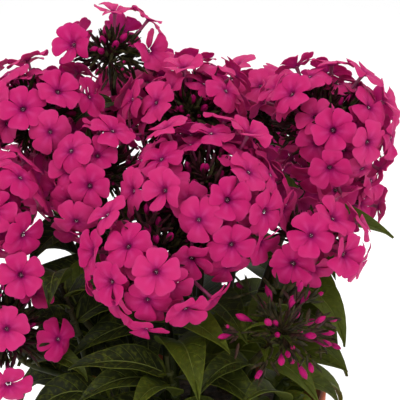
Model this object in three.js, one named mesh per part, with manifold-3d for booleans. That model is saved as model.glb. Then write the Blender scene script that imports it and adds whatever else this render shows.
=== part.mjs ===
// A garden phlox (Phlox paniculata) in full flower, standing in its plastic pot.
// Millimetres, +Z up. The origin is the middle of the pot's underside.

import * as THREE from 'three';
import { mergeVertices } from 'three/addons/utils/BufferGeometryUtils.js';
import Module from 'manifold-3d';

const wasm = await Module();
wasm.setup();

// ---- Driving dimensions ----

const touchGap = 0.3;

// A tapered nursery pot with a stepped band at its rim and small rings below the band.
const pot = {
  rimRadius: 85, height: 129, baseRadius: 59, wall: 2.4, floor: 3, lip: 3.6, sides: 24,
  bandHeight: 17, bandStep: 3, bandTaper: 1, shoulder: 3, footBevel: 2,
  ringDrop: 5, ringPitch: 4.5, ringHeight: 2, ringDepth: 1, rings: 2,
  drains: 4, drainRadius: 5, drainCircle: 40, drainSides: 6,
};

const soil = {
  edge: 113, rise: 3, crown: 50, crownRise: 2.1, hole: 6.8, holeSides: 4, below: 0.6, sides: 12,
};

// A stem runs upright out of the soil for a share of its rise, and reaches its top along
// the top's own axis for another share.
const stem = {
  radius: 2.2, sides: 5, steps: 6, foot: 12, upright: 0.42, reach: 0.38, clearRim: 38, samples: 40,
};

// One flower: the tips of its petals, the notches between them, and its tube.
const flower = {
  petals: 5, pointsPerPetal: 3, radius: 13.2, notch: 8.4, recess: 1.4, body: 2.8,
  neck: 1.6, neckSides: 3, neckTurn: 0.8,
};

// How a head's flowers are spread over its dome. They stand apart, at a few levels, each a
// little tilted; the heads behind bear fewer, and the sheltered side of a head bears none.
const spread = {
  apart: 20.8, levels: [0, 2.8, -2.8, 5.6], jitter: 0.6, tilt: 0.36, tries: 420, margin: 0.9,
  sheltered: 0.45, shade: 0.3, behind: 50, sparse: 1.32, toFront: [0, -1, 0.3],
  faceRings: [[6, 0.5], [10, 1]], tubeDepths: [7, 14, 21, 28],
};

// A head's buds stand on the bare middle of its dome.
const bud = { radius: 2.4, belly: 0.72, reach: 0.78, count: 5, room: 8, sides: 3, samples: [1, 0.7] };

// A head's stalk runs through a small dense core, all as shares of the head's radius.
const core = { share: 0.27, top: 0.7, stalk: 0.62, tip: 0.5, sink: 0.45, samples: [0, 0.3, 0.6] };

const leaf = {
  length: 98, width: 32, rib: 1.3, fold: 0.16, sides: 3, stations: [0, 0.13, 0.36, 0.7, 1],
  widest: 0.31, base: 0.55, tip: 1.25, socket: 0.6, toLight: 0.5,
};

// Leaves stand in opposite pairs. From a stem's foot to its top they get smaller and
// rise more steeply; angles are in degrees, and all but the pitch have a little jitter. They
// keep within a reach of the plant's middle line, wider above a height; middle is its X.
const habit = {
  pairs: 12, first: 14, nearTip: 7, sheltered: 0.5, bend: -70,
  reach: { middle: -6, low: 106, high: 150, from: 212 },
  flowering: { pitch: 20.5, size: 1, taper: 0.6, power: 2, rise: 20, riseGain: 14 },
  leafy: { pitch: 9, size: 0.9, taper: 0.35, power: 1, rise: 16, riseGain: 34 },
  jitter: { azimuth: 0.3, rise: 16, bend: 50, size: 0.14 },
};

// The sizes, arches and headings that are tried in turn until a blade is clear.
const sizeTries = [1, 0.86, 0.72, 0.58];
const archTries = [[0, 0], [14, -20], [-14, 10], [26, -60], [-26, 0]];
const headingTries = [0, 14, -14, 28, -28, 42, -42, 58, -58, 76, -76];
const bladeSamples = { steps: 14, across: [-1, -0.5, 0, 0.5, 1], nearStem: 20 };

// How far the sample points of two neighbours stay apart.
const clearOf = {
  flower: 6, stem: 6.8, leaf: 5.6, ownLeaf: 4.6, stalk: 5.6, core: 6, rim: 3.5, ground: 8,
};

// Each flower head: the middle of its dome, the dome's radius, how far its axis leans
// along X and Y for 1 up, the polar angles where its open flowers start and end, and
// where its stem stands in the soil. All of a head's flowers are open, or the share given.
const heads = [
  { name: 'a', at: [9, -38, 256], radius: 44, lean: [0, -0.9], from: 34, to: 104, root: [3, -16] },
  { name: 'b', at: [-17, -62, 230], radius: 36, lean: [-0.1, -0.6], from: 34, to: 112, root: [-6, -32] },
  { name: 'c', at: [-114, -36, 252], radius: 29, lean: [-0.1, -0.9], from: 38, to: 112, root: [-27, -17] },
  { name: 'g', at: [81, 2, 291], radius: 36, lean: [0.15, -0.9], from: 36, to: 116, root: [30, 4] },
  { name: 'h', at: [69, -36, 232], radius: 28, lean: [0.1, -0.5], from: 26, to: 106, root: [28, -16] },
  { name: 'd', at: [-90, 14, 292], radius: 35, lean: [-0.2, -0.6], from: 32, to: 110, root: [-34, 8] },
  { name: 'f', at: [1, 14, 291], radius: 37, lean: [0.05, -1.1], from: 35, to: 112, root: [7, 8] },
  { name: 'i', at: [-106, -48, 180], radius: 33, lean: [-0.4, -0.5], from: 30, to: 108, root: [-38, -26] },
  { name: 'e', at: [-48, 34, 330], radius: 27, lean: [0, -1], from: 44, to: 100, root: [-12, 12] },
  { name: 'm', at: [-52, -16, 267], radius: 35, lean: [-0.1, -0.7], from: 22, to: 112, root: [-16, -4] },
  { name: 'k', at: [-30, 80, 284], radius: 36, lean: [-0.1, 0.5], from: 34, to: 98, root: [-22, 34] },
  { name: 'l', at: [46, 74, 278], radius: 36, lean: [0.2, 0.5], from: 34, to: 98, root: [20, 30] },
  { name: 'n', at: [84, 62, 236], radius: 34, lean: [0.5, 0.4], from: 34, to: 100, root: [38, 22] },
  { name: 'o', at: [-92, 58, 240], radius: 34, lean: [-0.5, 0.4], from: 34, to: 100, root: [-38, 22] },
  { name: 'j', at: [53, -68, 188], radius: 38, lean: [0.7, -0.6], from: 112, to: 90, root: [30, -40],
    open: 0 },
];

// Which way a few flowers stand on the heads with few, and how far each is turned to the front.
const chosen = {
  e: [[-21, -15, 9, 0.7], [4, -3, 28, 0], [22, 2, 20, 0], [24, -9, 4, 0.5], [8, 24, 12, 0], [-20, 18, 8, 0]],
  i: [
    [17, 0, 26, 0.5], [4, -25, 12, 0.2], [31, -8, 0, 0.9], [4, -24, -20, 0.4], [-12, -8, 28, 0.3],
    [-20, -22, 2, 0], [-31, 0, 8, 0.2], [-20, -16, -20, 0], [-22, 22, 12, 0], [6, 26, 16, 0],
  ],
};

// Leafy shoots that carry no head: the tip, the lean there and the foot in the soil.
const shoots = [
  { name: 'q', at: [30, -84, 152], lean: [0.1, -0.6], root: [12, -54] },
  { name: 'r', at: [-12, -66, 174], lean: [0, -0.3], root: [-4, -50] },
  { name: 's', at: [-60, -62, 150], lean: [-0.4, -0.6], root: [-40, -42] },
  { name: 't', at: [64, -34, 150], lean: [0.4, -0.4], root: [52, -20] },
  { name: 'u', at: [-14, 78, 158], lean: [-0.1, 0.5], root: [-6, 52] },
  { name: 'v', at: [50, 62, 152], lean: [0.3, 0.5], root: [36, 42] },
  { name: 'w', at: [66, -62, 148], lean: [0.4, -0.3], root: [46, -46] },
  { name: 'x', at: [-78, -34, 214], lean: [-0.3, -0.3], root: [-58, -20] },
];

const firstSeed = { heads: 11, shoots: 41, leaves: 107 };

// ---- Shared helpers ----

const vector = (list) => new THREE.Vector3(...list);
const degrees = (angle) => (angle * Math.PI) / 180;
const fullTurn = Math.PI * 2;
const goldenAngle = Math.PI * (3 - Math.sqrt(5));
const tiny = 1e-6;
const upward = new THREE.Vector3(0, 0, 1);

// A seeded draw between 0 and 1, the same on every run: Park and Miller's generator.
const drawRange = 2147483647;

function seededDraw(seed) {
  let state = (seed * 7919) % drawRange;
  return () => {
    state = (state * 48271) % drawRange;
    return state / drawRange;
  };
}

// Two directions square to an axis and to each other.
function sidesOf(axis) {
  const side = new THREE.Vector3().crossVectors(axis, new THREE.Vector3(0, 1, 0)).normalize();
  return [side, new THREE.Vector3().crossVectors(axis, side)];
}

// A direction at an angle round an axis, given by the cosine of its angle to the axis.
function aroundAxis(axis, cosine, angle) {
  const [side, front] = sidesOf(axis);
  const sine = Math.sqrt(1 - cosine * cosine);
  return axis.clone().multiplyScalar(cosine)
    .addScaledVector(side, sine * Math.cos(angle)).addScaledVector(front, sine * Math.sin(angle));
}

// The faces that are left where some of a shape's points were brought together.
function wholeFaces(index) {
  const faces = [];
  for (let at = 0; at < index.length; at += 3) {
    const [a, b, c] = index.slice(at, at + 3);
    if (a !== b && b !== c && c !== a) faces.push(a, b, c);
  }
  return faces;
}

function toSolid(geometry) {
  const bare = geometry.clone();
  bare.deleteAttribute('normal');
  bare.deleteAttribute('uv');
  const merged = mergeVertices(bare, 1e-4);
  const vertProperties = new Float32Array(merged.attributes.position.array);
  const triVerts = new Uint32Array(wholeFaces(merged.index.array));
  return new wasm.Manifold(new wasm.Mesh({ numProp: 3, vertProperties, triVerts }));
}

function toGeometry(solid) {
  const { vertProperties, triVerts } = solid.getMesh();
  const geometry = new THREE.BufferGeometry();
  geometry.setAttribute('position', new THREE.BufferAttribute(vertProperties, 3));
  geometry.setIndex(new THREE.BufferAttribute(triVerts, 1));
  return geometry;
}

const fuse = (solids) => solids.reduce((whole, next) => whole.add(next));

// Turns a shape that is made along Z to stand at a place along a direction.
function stand(geometry, at, direction, spin = 0) {
  const turn = new THREE.Quaternion().setFromUnitVectors(upward, direction);
  return geometry.clone().rotateZ(spin).applyQuaternion(turn).translate(at.x, at.y, at.z);
}

// A turned shape round Z, from pairs of a radius and a height.
function turned(profile, sides) {
  const points = profile.map(([radius, height]) => new THREE.Vector2(radius, height));
  return new THREE.LatheGeometry(points, sides).rotateX(Math.PI / 2);
}

const group = new THREE.Group();

function addMesh(name, solid, material) {
  const mesh = new THREE.Mesh(toGeometry(solid), material);
  mesh.name = name;
  group.add(mesh);
}

const finish = (color, roughness) => new THREE.MeshStandardMaterial({ color, roughness, metalness: 0 });

// ---- Sample points that keep the nodes clear of each other ----

class Crowd {
  constructor(cell) {
    this.cell = cell;
    this.cells = new Map();
  }

  add(points, owner) {
    for (const point of points) {
      const key = this.keyOf(point, 0, 0, 0);
      if (!this.cells.has(key)) this.cells.set(key, []);
      this.cells.get(key).push([point, owner]);
    }
  }

  keyOf(point, i, j, k) {
    const at = (value, step) => Math.floor(value / this.cell) + step;
    return `${at(point.x, i)} ${at(point.y, j)} ${at(point.z, k)}`;
  }

  // True where no point of another owner is nearer than the distance.
  isClear(points, owner, distance) {
    const steps = [-1, 0, 1];
    for (const point of points) {
      for (const i of steps) for (const j of steps) for (const k of steps) {
        for (const [other, whose] of this.cells.get(this.keyOf(point, i, j, k)) ?? []) {
          if (whose !== owner && other.distanceTo(point) < distance) return false;
        }
      }
    }
    return true;
  }
}

const crowdCell = 12;
const blooms = new Crowd(crowdCell);
const stalks = new Crowd(crowdCell);
const blades = new Crowd(crowdCell);

const areApart = (points, others, distance) => points.every(
  (point) => others.every((other) => other.distanceTo(point) >= distance));

// How far a direction points towards the plant's upright middle line.
function facesMiddle(place, direction) {
  return -(place.x * direction.x + place.y * direction.y) / Math.hypot(place.x, place.y);
}

function nearAnotherCore(points, head) {
  return heads.some((other) => other !== head && points.some(
    (point) => point.distanceTo(other.centre) < other.radius * core.share + clearOf.core));
}

// ---- The lines of the stems ----

// A stem leaves the soil upright and meets its head or tip along that one's axis.
function stemCurve(root, top, axis) {
  const rise = top.z - soil.edge;
  const foot = new THREE.Vector3(root[0], root[1], soil.edge - stem.foot);
  const low = new THREE.Vector3(root[0], root[1], soil.edge + Math.max(rise * stem.upright, stem.clearRim));
  const high = top.clone().addScaledVector(axis, -rise * stem.reach);
  return new THREE.CubicBezierCurve3(foot, low, high, top);
}

heads.forEach((head, index) => {
  head.seed = firstSeed.heads + index;
  head.habit = habit.flowering;
  head.open ??= 1;
  head.centre = vector(head.at);
  head.axis = vector([...head.lean, 1]).normalize();
  head.top = head.centre.clone().addScaledVector(head.axis, -head.radius * core.stalk);
});
shoots.forEach((shoot, index) => {
  shoot.seed = firstSeed.shoots + index;
  shoot.habit = habit.leafy;
  shoot.axis = vector([...shoot.lean, 1]).normalize();
  shoot.top = vector(shoot.at);
});
const plants = [...heads, ...shoots];
for (const plant of plants) {
  plant.curve = stemCurve(plant.root, plant.top, plant.axis);
  plant.path = plant.curve.getSpacedPoints(stem.steps);
  stalks.add(plant.curve.getSpacedPoints(stem.samples), plant.name);
}
for (const head of heads) {
  const inside = core.samples.map((share) => head.top.clone().lerp(head.centre, share));
  blooms.add(inside, head.name);
  stalks.add(inside, head.name);
}

// A point on a stem's straight steps, as a share of its length from the foot.
function onStem(plant, share) {
  const place = Math.min(share * stem.steps, stem.steps - tiny);
  const step = Math.floor(place);
  return plant.path[step].clone().lerp(plant.path[step + 1], place - step);
}

// ---- Flower heads ----

// Points over a flower's face, and down its tube towards the middle of the head.
function flowerPoints(at, normal, centre) {
  const [side, front] = sidesOf(normal);
  const points = [at.clone()];
  for (const [count, share] of spread.faceRings) {
    for (let step = 0; step < count; step++) {
      const angle = (step * fullTurn) / count;
      points.push(at.clone().addScaledVector(side, flower.radius * share * Math.cos(angle))
        .addScaledVector(front, flower.radius * share * Math.sin(angle)));
    }
  }
  const inward = centre.clone().sub(at).normalize();
  for (const depth of spread.tubeDepths) points.push(at.clone().addScaledVector(inward, depth));
  return points;
}

// True where two round faces cut each other along the line that their planes share.
function crosses(one, other) {
  const line = new THREE.Vector3().crossVectors(one.normal, other.normal);
  const sine = line.length();
  if (sine < tiny) return false;
  const apart = other.at.clone().sub(one.at);
  const reach = flower.radius + spread.margin;
  const awayOne = Math.abs(apart.dot(other.normal)) / sine;
  const awayOther = Math.abs(apart.dot(one.normal)) / sine;
  if (awayOne > reach || awayOther > reach) return false;
  const halfOne = Math.sqrt(reach * reach - awayOne * awayOne);
  const halfOther = Math.sqrt(reach * reach - awayOther * awayOther);
  return Math.abs(apart.dot(line)) / sine < halfOne + halfOther;
}

// A golden spiral of places runs over the dome, and a flower opens wherever there is room.
// A head whose places are chosen takes those instead.
function placeFlowers(head) {
  const draw = seededDraw(head.seed);
  const [side, front] = sidesOf(head.axis);
  const first = Math.cos(degrees(head.from));
  const last = Math.cos(degrees(head.to));
  const turn = draw() * fullTurn;
  const apart = spread.apart * (head.at[1] > spread.behind ? spread.sparse : 1);
  const places = chosen[head.name];
  const placed = [];
  for (let step = 0; step < (places ? places.length : spread.tries); step++) {
    const [lift, tiltA, tiltB, spin, open] = [draw(), draw(), draw(), draw(), draw()];
    const cosine = first + ((last - first) * (step + 0.5)) / spread.tries;
    const outward = places ? vector(places[step]).normalize()
      : aroundAxis(head.axis, cosine, turn + step * goldenAngle);
    const turned = places ? places[step][3] : 0;
    const normal = outward.clone().addScaledVector(side, (tiltA - 0.5) * spread.tilt)
      .addScaledVector(front, (tiltB - 0.5) * spread.tilt)
      .addScaledVector(vector(spread.toFront), turned).normalize();
    const isSheltered = facesMiddle(head.centre, outward) > spread.sheltered && outward.z < spread.shade;
    if (isSheltered && !places) continue;
    for (const level of spread.levels) {
      const at = head.centre.clone().addScaledVector(outward, head.radius + level + lift * spread.jitter);
      const one = { at, normal, spin: spin * fullTurn, open: open < head.open };
      if (placed.some((other) => other.at.distanceTo(at) < apart || crosses(other, one))) continue;
      const points = flowerPoints(at, normal, head.centre);
      if (!blooms.isClear(points, head.name, clearOf.flower)) continue;
      if (!stalks.isClear(points, head.name, clearOf.stem)) continue;
      if (nearAnotherCore(points, head)) continue;
      placed.push(one);
      if (one.open) blooms.add(points, head.name);
      break;
    }
  }
  return placed.filter((one) => one.open);
}

// Buds keep to the middle of the dome, or to all of it where no flower is open.
function placeBuds(head) {
  const count = head.open ? bud.count : bud.count * 2;
  const last = Math.cos(degrees(head.from - bud.room));
  return Array.from({ length: count }, (_, step) => aroundAxis(
    head.axis, 1 - ((1 - last) * (step + 0.5)) / count, head.seed + step * goldenAngle));
}

for (const head of heads) {
  head.buds = placeBuds(head);
  for (const outward of head.buds) {
    const reach = head.radius * bud.reach;
    const along = (share) => head.centre.clone().addScaledVector(outward, reach * share);
    blooms.add(bud.samples.map(along), head.name);
  }
}
const young = heads.filter((head) => chosen[head.name]);
const full = heads.filter((head) => !chosen[head.name]);
for (const head of [...young, ...full]) head.flowers = placeFlowers(head);

// Five broad petals round a sunken throat. Their underside narrows to a three-sided
// tube, and the tube to a point at the root.
function flowerShape(root) {
  const sides = flower.petals * flower.pointsPerPetal;
  const perCorner = sides / flower.neckSides;
  const geometry = new THREE.SphereGeometry(1, sides, 3);
  const position = geometry.attributes.position;
  for (let index = 0; index < position.count; index++) {
    const [x, y, z] = [position.getX(index), position.getY(index), position.getZ(index)];
    const step = (Math.round((Math.atan2(z, -x) * sides) / fullTurn) + sides) % sides;
    if (y > 1 - tiny) position.setXYZ(index, 0, 0, -flower.recess);
    else if (y < tiny - 1) position.setXYZ(index, root.x, root.y, root.z);
    else if (y > 0) {
      const reach = step % flower.pointsPerPetal === 0 ? flower.notch : flower.radius;
      const angle = (step * fullTurn) / sides;
      position.setXYZ(index, reach * Math.cos(angle), reach * Math.sin(angle), 0);
    } else {
      const angle = (Math.floor(step / perCorner) * fullTurn) / flower.neckSides + flower.neckTurn;
      position.setXYZ(index, flower.neck * Math.cos(angle), flower.neck * Math.sin(angle),
        -flower.recess - flower.body);
    }
  }
  return geometry;
}

// The root lies in the head's core, whichever way the flower faces.
function flowerSolid(one, head) {
  const inward = head.centre.clone().sub(one.at);
  const root = inward.clone().setLength(inward.length() - head.radius * core.share * core.sink)
    .applyQuaternion(new THREE.Quaternion().setFromUnitVectors(one.normal, upward))
    .applyAxisAngle(upward, -one.spin);
  return toSolid(stand(flowerShape(root), one.at, one.normal, one.spin));
}

// A bud is a slim spindle, widest near its tip.
function budSolid(outward, head) {
  const reach = head.radius * bud.reach;
  const root = head.radius * core.share * core.sink;
  const shape = turned([[0, root], [bud.radius, reach * bud.belly], [0, reach]], bud.sides);
  return toSolid(stand(shape, head.centre, outward));
}

// The stalk, the dense core and the tip of the stalk are one turned shape.
function coreSolid(head) {
  const { radius } = head;
  const foot = -radius * core.stalk + touchGap;
  const girth = radius * core.share;
  const profile = [[0, foot], [stem.radius, foot], [stem.radius, -girth], [girth, 0],
    [girth * core.top, girth], [0, radius * core.tip]];
  return toSolid(stand(turned(profile, stem.sides), head.centre, head.axis));
}

function headSolid(head) {
  return fuse([coreSolid(head), ...head.flowers.map((one) => flowerSolid(one, head)),
    ...head.buds.map((outward) => budSolid(outward, head))]);
}

// ---- Leaves ----

// A blade arches along its rib: it rises at one angle and bends to another at its tip.
function ribPoint(blade, share) {
  const { start, azimuth, rise, bend, length } = blade;
  const angle = rise + bend * share;
  const out = leaf.socket + (length * (Math.sin(angle) - Math.sin(rise))) / bend;
  const up = (length * (Math.cos(rise) - Math.cos(angle))) / bend;
  return start.clone().add(new THREE.Vector3(out * Math.cos(azimuth), out * Math.sin(azimuth), up));
}

// Half a blade's width at a share of its length: broad near the base, drawn out at the tip.
function halfWidth(blade, share) {
  if (share <= 0 || share >= 1) return 0;
  return blade.width * 0.5 * (share / leaf.widest) ** leaf.base
    * ((1 - share) / (1 - leaf.widest)) ** leaf.tip;
}

// A point of a blade: across runs from -1 to 1 between its edges, and over is a height
// above the rib. The edges are folded up, and the blade is rolled about its rib.
function bladePoint(blade, share, across, over) {
  const width = halfWidth(blade, share);
  const angle = blade.rise + blade.bend * share;
  const level = new THREE.Vector3(-Math.sin(blade.azimuth), Math.cos(blade.azimuth), 0);
  const upright = new THREE.Vector3(
    -Math.sin(angle) * Math.cos(blade.azimuth), -Math.sin(angle) * Math.sin(blade.azimuth), Math.cos(angle));
  const [cosine, sine] = [Math.cos(blade.roll), Math.sin(blade.roll)];
  const side = level.clone().multiplyScalar(cosine).addScaledVector(upright, sine);
  const normal = upright.clone().multiplyScalar(cosine).addScaledVector(level, -sine);
  const fold = Math.abs(across) * width * leaf.fold * 2;
  return ribPoint(blade, share).addScaledVector(side, across * width).addScaledVector(normal, over + fold);
}

function bladePoints(blade) {
  const points = [];
  for (let step = 1; step <= bladeSamples.steps; step++) {
    const share = step / bladeSamples.steps;
    for (const across of bladeSamples.across) points.push(bladePoint(blade, share, across, 0));
  }
  return points;
}

// A three-sided shell: two edges, and the rib below them.
function bladeSolid(blade) {
  const rings = leaf.stations.length - 1;
  const geometry = new THREE.SphereGeometry(1, leaf.sides, rings);
  const position = geometry.attributes.position;
  for (let index = 0; index < position.count; index++) {
    const [x, y, z] = [position.getX(index), position.getY(index), position.getZ(index)];
    const share = leaf.stations[Math.round((Math.acos(THREE.MathUtils.clamp(y, -1, 1)) * rings) / Math.PI)];
    const inner = share > 0 && share < 1;
    const corner = Math.round((Math.atan2(z, x) * leaf.sides) / Math.PI);
    const across = inner ? -Math.sign(corner % leaf.sides) : 0;
    const over = inner && across === 0 ? -leaf.rib : 0;
    position.setXYZ(index, ...bladePoint(blade, share, across, over));
  }
  return toSolid(geometry);
}

// Blades stay outside the pot, or above its rim and the soil.
const outsidePot = (points) => points.every((point) => {
  const radius = Math.hypot(point.x, point.y);
  const reach = point.z > habit.reach.from ? habit.reach.high : habit.reach.low;
  if (point.z < clearOf.ground || Math.hypot(point.x - habit.reach.middle, point.y) > reach) return false;
  if (point.z > pot.height + clearOf.rim) return true;
  return radius > pot.rimRadius + clearOf.rim || (point.z > soil.edge + soil.rise + clearOf.rim
    && radius < pot.rimRadius - pot.wall * 2 - clearOf.rim);
});

// The first size, arch and heading at which a blade is clear of all that stands already.
function placeBlade(plant, start, azimuth, rise, bend, size) {
  for (const share of sizeTries) for (const [riseBy, bendBy] of archTries) for (const turn of headingTries) {
    const heading = azimuth + degrees(turn);
    const blade = {
      start, azimuth: heading, roll: leaf.toLight * Math.cos(heading), rise: degrees(rise + riseBy),
      bend: degrees(bend + bendBy), length: leaf.length * size * share, width: leaf.width * size * share,
    };
    const points = bladePoints(blade);
    const outer = points.slice(bladeSamples.nearStem);
    const clear = outsidePot(points) && blooms.isClear(points, '', clearOf.leaf)
      && stalks.isClear(points, plant.name, clearOf.stalk)
      && blades.isClear(points, plant.name, clearOf.leaf)
      && plant.leaves.every((other) => areApart(outer, other.outer, clearOf.ownLeaf))
      && !nearAnotherCore(points, null);
    if (clear) {
      blades.add(points, plant.name);
      return { ...blade, outer };
    }
  }
  return null;
}

// Leaves stand in opposite pairs, each pair square to the one below.
function placePair(plant, pair) {
  const { pitch, size, taper, power, rise, riseGain } = plant.habit;
  const length = plant.curve.getLength();
  const along = stem.foot + habit.first + pair * pitch;
  if (along > length - habit.nearTip) return;
  const share = along / length;
  const start = onStem(plant, share);
  for (const turn of [0, Math.PI]) {
    const [jitterA, jitterB, jitterC] = [plant.draw() - 0.5, plant.draw() - 0.5, plant.draw() - 0.5];
    const azimuth = plant.turn + pair * Math.PI * 0.5 + turn + jitterB * habit.jitter.azimuth;
    const heading = new THREE.Vector3(Math.cos(azimuth), Math.sin(azimuth), 0);
    if (facesMiddle(start, heading) > habit.sheltered) continue;
    const blade = placeBlade(plant, start, azimuth, rise + riseGain * share + jitterA * habit.jitter.rise,
      habit.bend + jitterC * habit.jitter.bend,
      (size - taper * share ** power) * (1 + jitterC * habit.jitter.size));
    if (blade) plant.leaves.push(blade);
  }
}

for (const plant of plants) {
  plant.draw = seededDraw(plant.seed + firstSeed.leaves);
  plant.turn = plant.draw() * Math.PI;
  plant.leaves = [];
}
for (let pair = 0; pair < habit.pairs; pair++) for (const plant of plants) placePair(plant, pair);

function stemSolid(plant) {
  const section = new THREE.Shape();
  for (let side = 0; side < stem.sides; side++) {
    const angle = (side * fullTurn) / stem.sides;
    const point = [stem.radius * Math.cos(angle), stem.radius * Math.sin(angle)];
    if (side === 0) section.moveTo(...point);
    else section.lineTo(...point);
  }
  const shaft = new THREE.ExtrudeGeometry(section, { steps: stem.steps, extrudePath: plant.curve });
  return fuse([toSolid(shaft), ...plant.leaves.map(bladeSolid)]);
}

// ---- Pot and soil ----

const bodyTop = pot.height - pot.bandHeight;
const bodyTopRadius = pot.rimRadius - pot.bandStep - pot.bandTaper;
const shoulder = bodyTop - pot.shoulder;
const bodyRadius = (z) => THREE.MathUtils.mapLinear(z, 0, bodyTop, pot.baseRadius, bodyTopRadius);
const wallRadius = (z) => THREE.MathUtils.mapLinear(
  z, pot.floor, shoulder, pot.baseRadius - pot.wall, bodyTopRadius - pot.wall);

function potSolid() {
  const outer = [[0, 0], [pot.baseRadius - pot.footBevel, 0], [bodyRadius(pot.footBevel), pot.footBevel]];
  for (let ring = pot.rings; ring > 0; ring--) {
    const low = bodyTop - pot.ringDrop - ring * pot.ringPitch;
    outer.push([bodyRadius(low), low], [bodyRadius(low) + pot.ringDepth, low + pot.ringHeight * 0.5],
      [bodyRadius(low + pot.ringHeight), low + pot.ringHeight]);
  }
  outer.push([bodyTopRadius, bodyTop], [pot.rimRadius - pot.bandTaper, bodyTop + pot.bandTaper],
    [pot.rimRadius, pot.height]);
  const inner = [[pot.rimRadius - pot.lip, pot.height], [wallRadius(shoulder), shoulder],
    [wallRadius(pot.floor), pot.floor], [0, pot.floor]];
  let solid = toSolid(turned([...outer, ...inner], pot.sides));
  for (let drain = 0; drain < pot.drains; drain++) {
    const angle = ((drain + 0.5) * fullTurn) / pot.drains;
    const hole = new THREE.CylinderGeometry(pot.drainRadius, pot.drainRadius, pot.floor * 3, pot.drainSides)
      .rotateX(Math.PI / 2)
      .translate(pot.drainCircle * Math.cos(angle), pot.drainCircle * Math.sin(angle), pot.floor / 2);
    solid = solid.subtract(toSolid(hole));
  }
  return solid;
}

// The soil fills the pot to just under its rim, with a hole for the foot of each stem.
function soilSolid() {
  const clear = touchGap * 2;
  const low = pot.floor + touchGap;
  const edgeRadius = wallRadius(shoulder) - clear;
  const profile = [[0, low], [wallRadius(low) - clear, low], [edgeRadius, shoulder], [edgeRadius, soil.edge],
    [soil.crown, soil.edge + soil.crownRise], [0, soil.edge + soil.rise]];
  let solid = toSolid(turned(profile, soil.sides));
  const depth = (stem.foot + soil.below) * 2;
  for (const plant of plants) {
    const hole = new THREE.CylinderGeometry(soil.hole, soil.hole, depth, soil.holeSides)
      .rotateX(Math.PI / 2).translate(plant.root[0], plant.root[1], soil.edge);
    solid = solid.subtract(toSolid(hole));
  }
  return solid;
}

// ---- The plant ----

const potPlastic = finish(0x9b5a42, 0.6);
const pottingSoil = finish(0x3a2b20, 0.95);
const leafGreen = finish(0x3c5a24, 0.55);
const petalPink = finish(0xc8327a, 0.5);

addMesh('pot', potSolid(), potPlastic);
addMesh('soil', soilSolid(), pottingSoil);
for (const plant of plants) addMesh(`stem_${plant.name}`, stemSolid(plant), leafGreen);
for (const head of heads) addMesh(`head_${head.name}`, headSolid(head), petalPink);

export default group;
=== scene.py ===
import math

import bmesh
import bpy
import numpy as np
from mathutils import Matrix, Vector


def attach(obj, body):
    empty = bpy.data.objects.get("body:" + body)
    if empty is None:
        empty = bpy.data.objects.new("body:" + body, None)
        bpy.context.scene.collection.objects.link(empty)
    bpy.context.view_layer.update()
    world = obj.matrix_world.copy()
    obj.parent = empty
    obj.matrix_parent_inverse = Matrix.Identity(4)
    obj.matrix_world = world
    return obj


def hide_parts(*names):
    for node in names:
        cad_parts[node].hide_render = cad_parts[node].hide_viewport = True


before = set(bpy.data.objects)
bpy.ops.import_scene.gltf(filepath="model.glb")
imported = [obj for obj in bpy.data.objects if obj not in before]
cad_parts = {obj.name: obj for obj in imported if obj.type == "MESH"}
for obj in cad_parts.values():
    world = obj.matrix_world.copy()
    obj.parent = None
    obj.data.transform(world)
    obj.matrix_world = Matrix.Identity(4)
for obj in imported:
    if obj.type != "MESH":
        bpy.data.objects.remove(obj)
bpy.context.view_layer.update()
mm = 0.001
tiny = 1e-6

# Where everything stands, in millimetres: the solids follow the same rule.
pot = {"rimRadius": 85, "height": 129, "baseRadius": 59, "wall": 2.4, "floor": 3, "lip": 3.6,
       "bandHeight": 17, "bandStep": 3, "bandTaper": 1, "shoulder": 3, "footBevel": 2,
       "ringDrop": 5, "ringPitch": 4.5, "ringHeight": 2, "ringDepth": 1, "rings": 2,
       "drains": 4, "drainRadius": 5, "drainCircle": 40}
soil = {"edge": 113, "rise": 3, "clear": 0.6}
stem = {"radius": 2.2, "steps": 6, "foot": 12, "upright": 0.42, "reach": 0.38, "clearRim": 38,
        "samples": 40, "measures": 201}
flower = {"petals": 5, "radius": 13.2}
spread = {"apart": 20.8, "levels": [0, 2.8, -2.8, 5.6], "jitter": 0.6, "tilt": 0.36, "tries": 420,
          "toFront": [0, -1, 0.3], "margin": 0.9, "sheltered": 0.45, "shade": 0.3, "behind": 50,
          "sparse": 1.32, "faceRings": [[6, 0.5], [10, 1]], "tubeDepths": [7, 14, 21, 28]}
bud = {"reach": 0.78, "count": 5, "room": 8, "samples": [1, 0.7]}
core = {"share": 0.27, "stalk": 0.62, "samples": [0, 0.3, 0.6]}
leaf = {"length": 98, "width": 32, "fold": 0.16, "widest": 0.31, "base": 0.55, "tip": 1.25,
        "socket": 0.6, "toLight": 0.5}
habit = {"pairs": 12, "first": 14, "nearTip": 7, "sheltered": 0.5, "bend": -70,
         "reach": {"middle": -6, "low": 106, "high": 150, "from": 212},
         "flowering": {"pitch": 20.5, "size": 1, "taper": 0.6, "power": 2, "rise": 20, "riseGain": 14},
         "leafy": {"pitch": 9, "size": 0.9, "taper": 0.35, "power": 1, "rise": 16, "riseGain": 34},
         "jitter": {"azimuth": 0.3, "rise": 16, "bend": 50, "size": 0.14}}
sizeTries = [1, 0.86, 0.72, 0.58]
archTries = [[0, 0], [14, -20], [-14, 10], [26, -60], [-26, 0]]
headingTries = [0, 14, -14, 28, -28, 42, -42, 58, -58, 76, -76]
bladeSamples = {"steps": 14, "across": [-1, -0.5, 0, 0.5, 1], "nearStem": 20}
clearOf = {"flower": 6, "stem": 6.8, "leaf": 5.6, "ownLeaf": 4.6, "stalk": 5.6, "core": 6, "rim": 3.5,
           "ground": 8}
firstSeed = {"heads": 11, "shoots": 41, "leaves": 107, "forms": 300, "stems": 500, "cymes": 620,
             "sprays": 700, "crumbs": 900, "tucked": 1300}

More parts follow.
